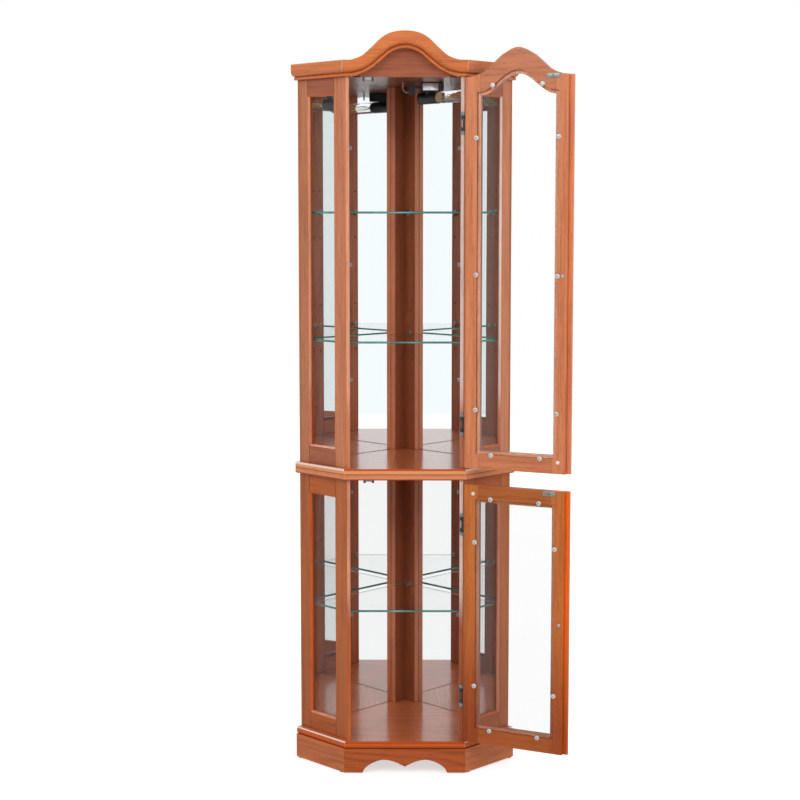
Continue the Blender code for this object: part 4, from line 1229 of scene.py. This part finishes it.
def makeShelfClips():
    # Steel clips that stand beside the edge of each shelf on the stiles and on the post
    look = sideLook
    clip, clips = plate(look["shelfClip"], *look["shelfClipRounding"]), []
    postCorner = -(mirrorPlane + postLook["thickness"]) / slant
    outOfPost = -sideways[1]
    for number in (1, 2, 3):
        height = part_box(f"glass_shelf_{number}")[1].z + look["shelfClipRise"] - look["shelfClip"][1] / 2
        for hand in sides:
            for along in (look["pegs"][0], sideLength - look["pegs"][1]):
                clips.append((clip, onSide(hand, along, height)))
        point = Vector((0.0, postCorner, height)) - sideways[-1] * look["postPeg"]
        clips.append((clip, onWall(point + outOfPost * clearance, outOfPost)))
    addPiece("shelf_clips", clips, metals["clip_steel"], "cabinet")


print("making the side clips and shelf clips")
for level in turns:
    makeSideFittings(level)
makeShelfClips()


lampParts = {
    "topSlice": 0.0010,  # the housing's top face
    "frontSlice": 0.0060,
    "housingHeight": 0.0221,
    "plateShares": (0.72, 0.80),  # of the housing's width and height
    "plateShift": -0.0040,
    "plateThickness": 0.0009,
    "plateRounding": (0.0010, 0.0003),
    "wireRadius": 0.00035,
    "wireSides": 6,
    "loopRadius": 0.0046,
    "loopLength": 0.0740,
    "loopSteps": 28,
    "loopTurns": (12.0, 72.0, 132.0),
    "loopStart": 0.0180,
    "clipSize": (0.0042, 0.0150, 0.0042),
    "clipRounding": (0.0016, 0.0010),
    "clipPlace": (0.1120, -0.2150),
    "clipGap": 0.0003,
}


def filament():
    # A long closed loop of wire that starts at the origin and runs along Y
    look = lampParts
    bm = bmesh.new()
    ring = bmesh.ops.create_circle(bm, segments=look["wireSides"], radius=look["wireRadius"])["verts"]
    bmesh.ops.rotate(bm, verts=ring, cent=(0, 0, 0), matrix=Matrix.Rotation(math.pi / 2, 3, "X"))
    bmesh.ops.translate(bm, verts=ring, vec=(look["loopRadius"], 0, 0))
    bmesh.ops.spin(
        bm, geom=[*bm.verts, *bm.edges], cent=(0, 0, 0), axis=(0, 0, 1),
        angle=2 * math.pi, steps=look["loopSteps"], use_merge=True,
    )
    bmesh.ops.recalc_face_normals(bm, faces=bm.faces)
    stretch = look["loopLength"] / (2 * look["loopRadius"])
    bmesh.ops.scale(bm, verts=bm.verts, vec=(1.0, stretch, 1.0))
    bmesh.ops.translate(bm, verts=bm.verts, vec=(0, look["loopLength"] / 2, 0))
    return bm


def makeLampParts():
    look = lampParts
    corners = [vertex.co for vertex in nodes["lamp_holder"].data.vertices]
    top = max(corner.z for corner in corners)
    places = [corner.x for corner in corners if corner.z > top - look["topSlice"]]
    left, right = min(places), max(places)
    front = min(corner.y for corner in corners if corner.z > top - look["frontSlice"])
    widthShare, heightShare = look["plateShares"]
    size = (right - left) * widthShare, look["housingHeight"] * heightShare, look["plateThickness"]
    x, z = (left + right) / 2 + look["plateShift"], top - look["housingHeight"] / 2
    cover = plate(size, *look["plateRounding"]), onWall(Vector((x, front - clearance, z)), -inwards)
    addPiece("lamp_plate", [cover], metals["lamp_plate_metal"], "cabinet")

    centre = sum(bulbPoints, Vector((0, 0, 0))) / len(bulbPoints)
    begin = centre + bulbAxis * (bulbStart + look["loopStart"] - centre.dot(bulbAxis))
    turn = Matrix((bulbAxis.cross(up), bulbAxis, up)).transposed().to_4x4()
    loop, place = filament(), Matrix.Translation(begin) @ turn
    angles = [math.radians(angle) for angle in look["loopTurns"]]
    loops = [(loop, place @ Matrix.Rotation(angle, 4, "Y")) for angle in angles]
    addPiece("bulb_filaments", loops, metals["filament_gold"], "cabinet")

    x, y = look["clipPlace"]
    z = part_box("top_board")[0].z - look["clipGap"] - look["clipSize"][1] / 2
    clip = plate(look["clipSize"], *look["clipRounding"]), onWall(Vector((x, y, z)), -inwards)
    addPiece("lead_clip", [clip], plastics["clip_white"], "cabinet")


print("making the parts of the lamp")
makeLampParts()


# Stage, light and camera

stageLook = {
    "floorRadius": 7.0,
    "floorColour": (0.62, 0.62, 0.62),
    "floorGlow": (0.60, 0.60, 0.60),
    "floorSpots": (0.30, 0.30, 0.30),
    "spotShare": 0.97,
    "floorRoughness": 0.6,
    "roughnessSpread": 0.1,
    "skyLevel": (0.82, 0.82, 0.82),
    "seen": (1.0, 1.0, 1.0),
    "unlit": (0.0, 0.0, 0.0),
}


def raySeen(tree):
    # Whether the camera, a mirror and a glass see the stage
    labels = ("Is Camera Ray", "Is Glossy Ray", "Is Transmission Ray")
    return [tree.node("LightPath", output=label) for label in labels]


def makeFloor():
    look = stageLook
    bm = bmesh.new()
    bmesh.ops.create_circle(bm, cap_ends=True, segments=shapeLook["floor"], radius=look["floorRadius"])
    mesh = bpy.data.meshes.new("floor")
    bm.to_mesh(mesh)
    bm.free()
    floor = addObject("floor", mesh)
    finish = Finish("floor_paint", Emission_Strength=1.0)
    mottle = finish.speckle(look["floorSpots"], patchy)
    inCamera, inMirror, inGlass = raySeen(finish)
    reflected = inMirror.most(inGlass)
    shade = tuple(part * look["spotShare"] for part in look["floorColour"])
    paint = finish.blend(mottle, look["floorColour"], shade)
    glow = finish.blend(inCamera, look["unlit"], look["floorGlow"])
    finish.drive(
        Base_Color=finish.blend(reflected, paint, look["unlit"]),
        Roughness=mottle * look["roughnessSpread"] + look["floorRoughness"],
        Emission_Color=finish.blend(reflected, glow, look["seen"]),
    )
    mesh.materials.append(finish.material)


def makeSky():
    world = bpy.data.worlds.new("studio")
    world.use_nodes = True
    sky = Tree(world.node_tree)
    inCamera, inMirror, inGlass = raySeen(sky)
    seen = inCamera.most(inMirror).most(inGlass)
    colour = sky.blend(seen, stageLook["skyLevel"], stageLook["seen"])
    sky.feed(world.node_tree.nodes["Background"].inputs["Color"], colour)
    bpy.context.scene.world = world


lampLook = {
    "key": {"place": (-2.4, -3.4, 3.0), "size": 1.8, "power": 54.0},
    "fill": {"place": (2.6, -3.0, 2.2), "size": 2.2, "power": 52.0},
    "rim": {"place": (-2.3, 1.6, 3.3), "size": 1.2, "power": 26.0},
}
aimHeight = 1.0


def makeLamps():
    aim = Vector((0.0, frontY, aimHeight))
    for name, look in lampLook.items():
        data = bpy.data.lights.new(name, "AREA")
        data.shape = "DISK"
        data.size = look["size"]
        data.energy = look["power"]
        lamp = addObject(name, data)
        lamp.location = look["place"]
        lamp.rotation_euler = (aim - lamp.location).to_track_quat("-Z", "Y").to_euler()


cameraLook = {
    "place": (0.0, -4.3608, 1.3740),
    "pitch": 5.579,  # degrees below the horizon
    "yaw": 0.169,
    "lens": 75.31,
    "shift": -0.03,
}


def makeCamera():
    data = bpy.data.cameras.new("camera")
    data.lens = cameraLook["lens"]
    data.shift_y = cameraLook["shift"]
    camera = addObject("camera", data)
    camera.location = cameraLook["place"]
    pitch, yaw = math.radians(cameraLook["pitch"]), math.radians(cameraLook["yaw"])
    camera.rotation_euler = (math.pi / 2 - pitch, 0.0, yaw)
    bpy.context.scene.camera = camera


print("setting the stage")
makeFloor()
makeSky()
makeLamps()
makeCamera()
bpy.context.scene.view_settings.view_transform = "Standard"
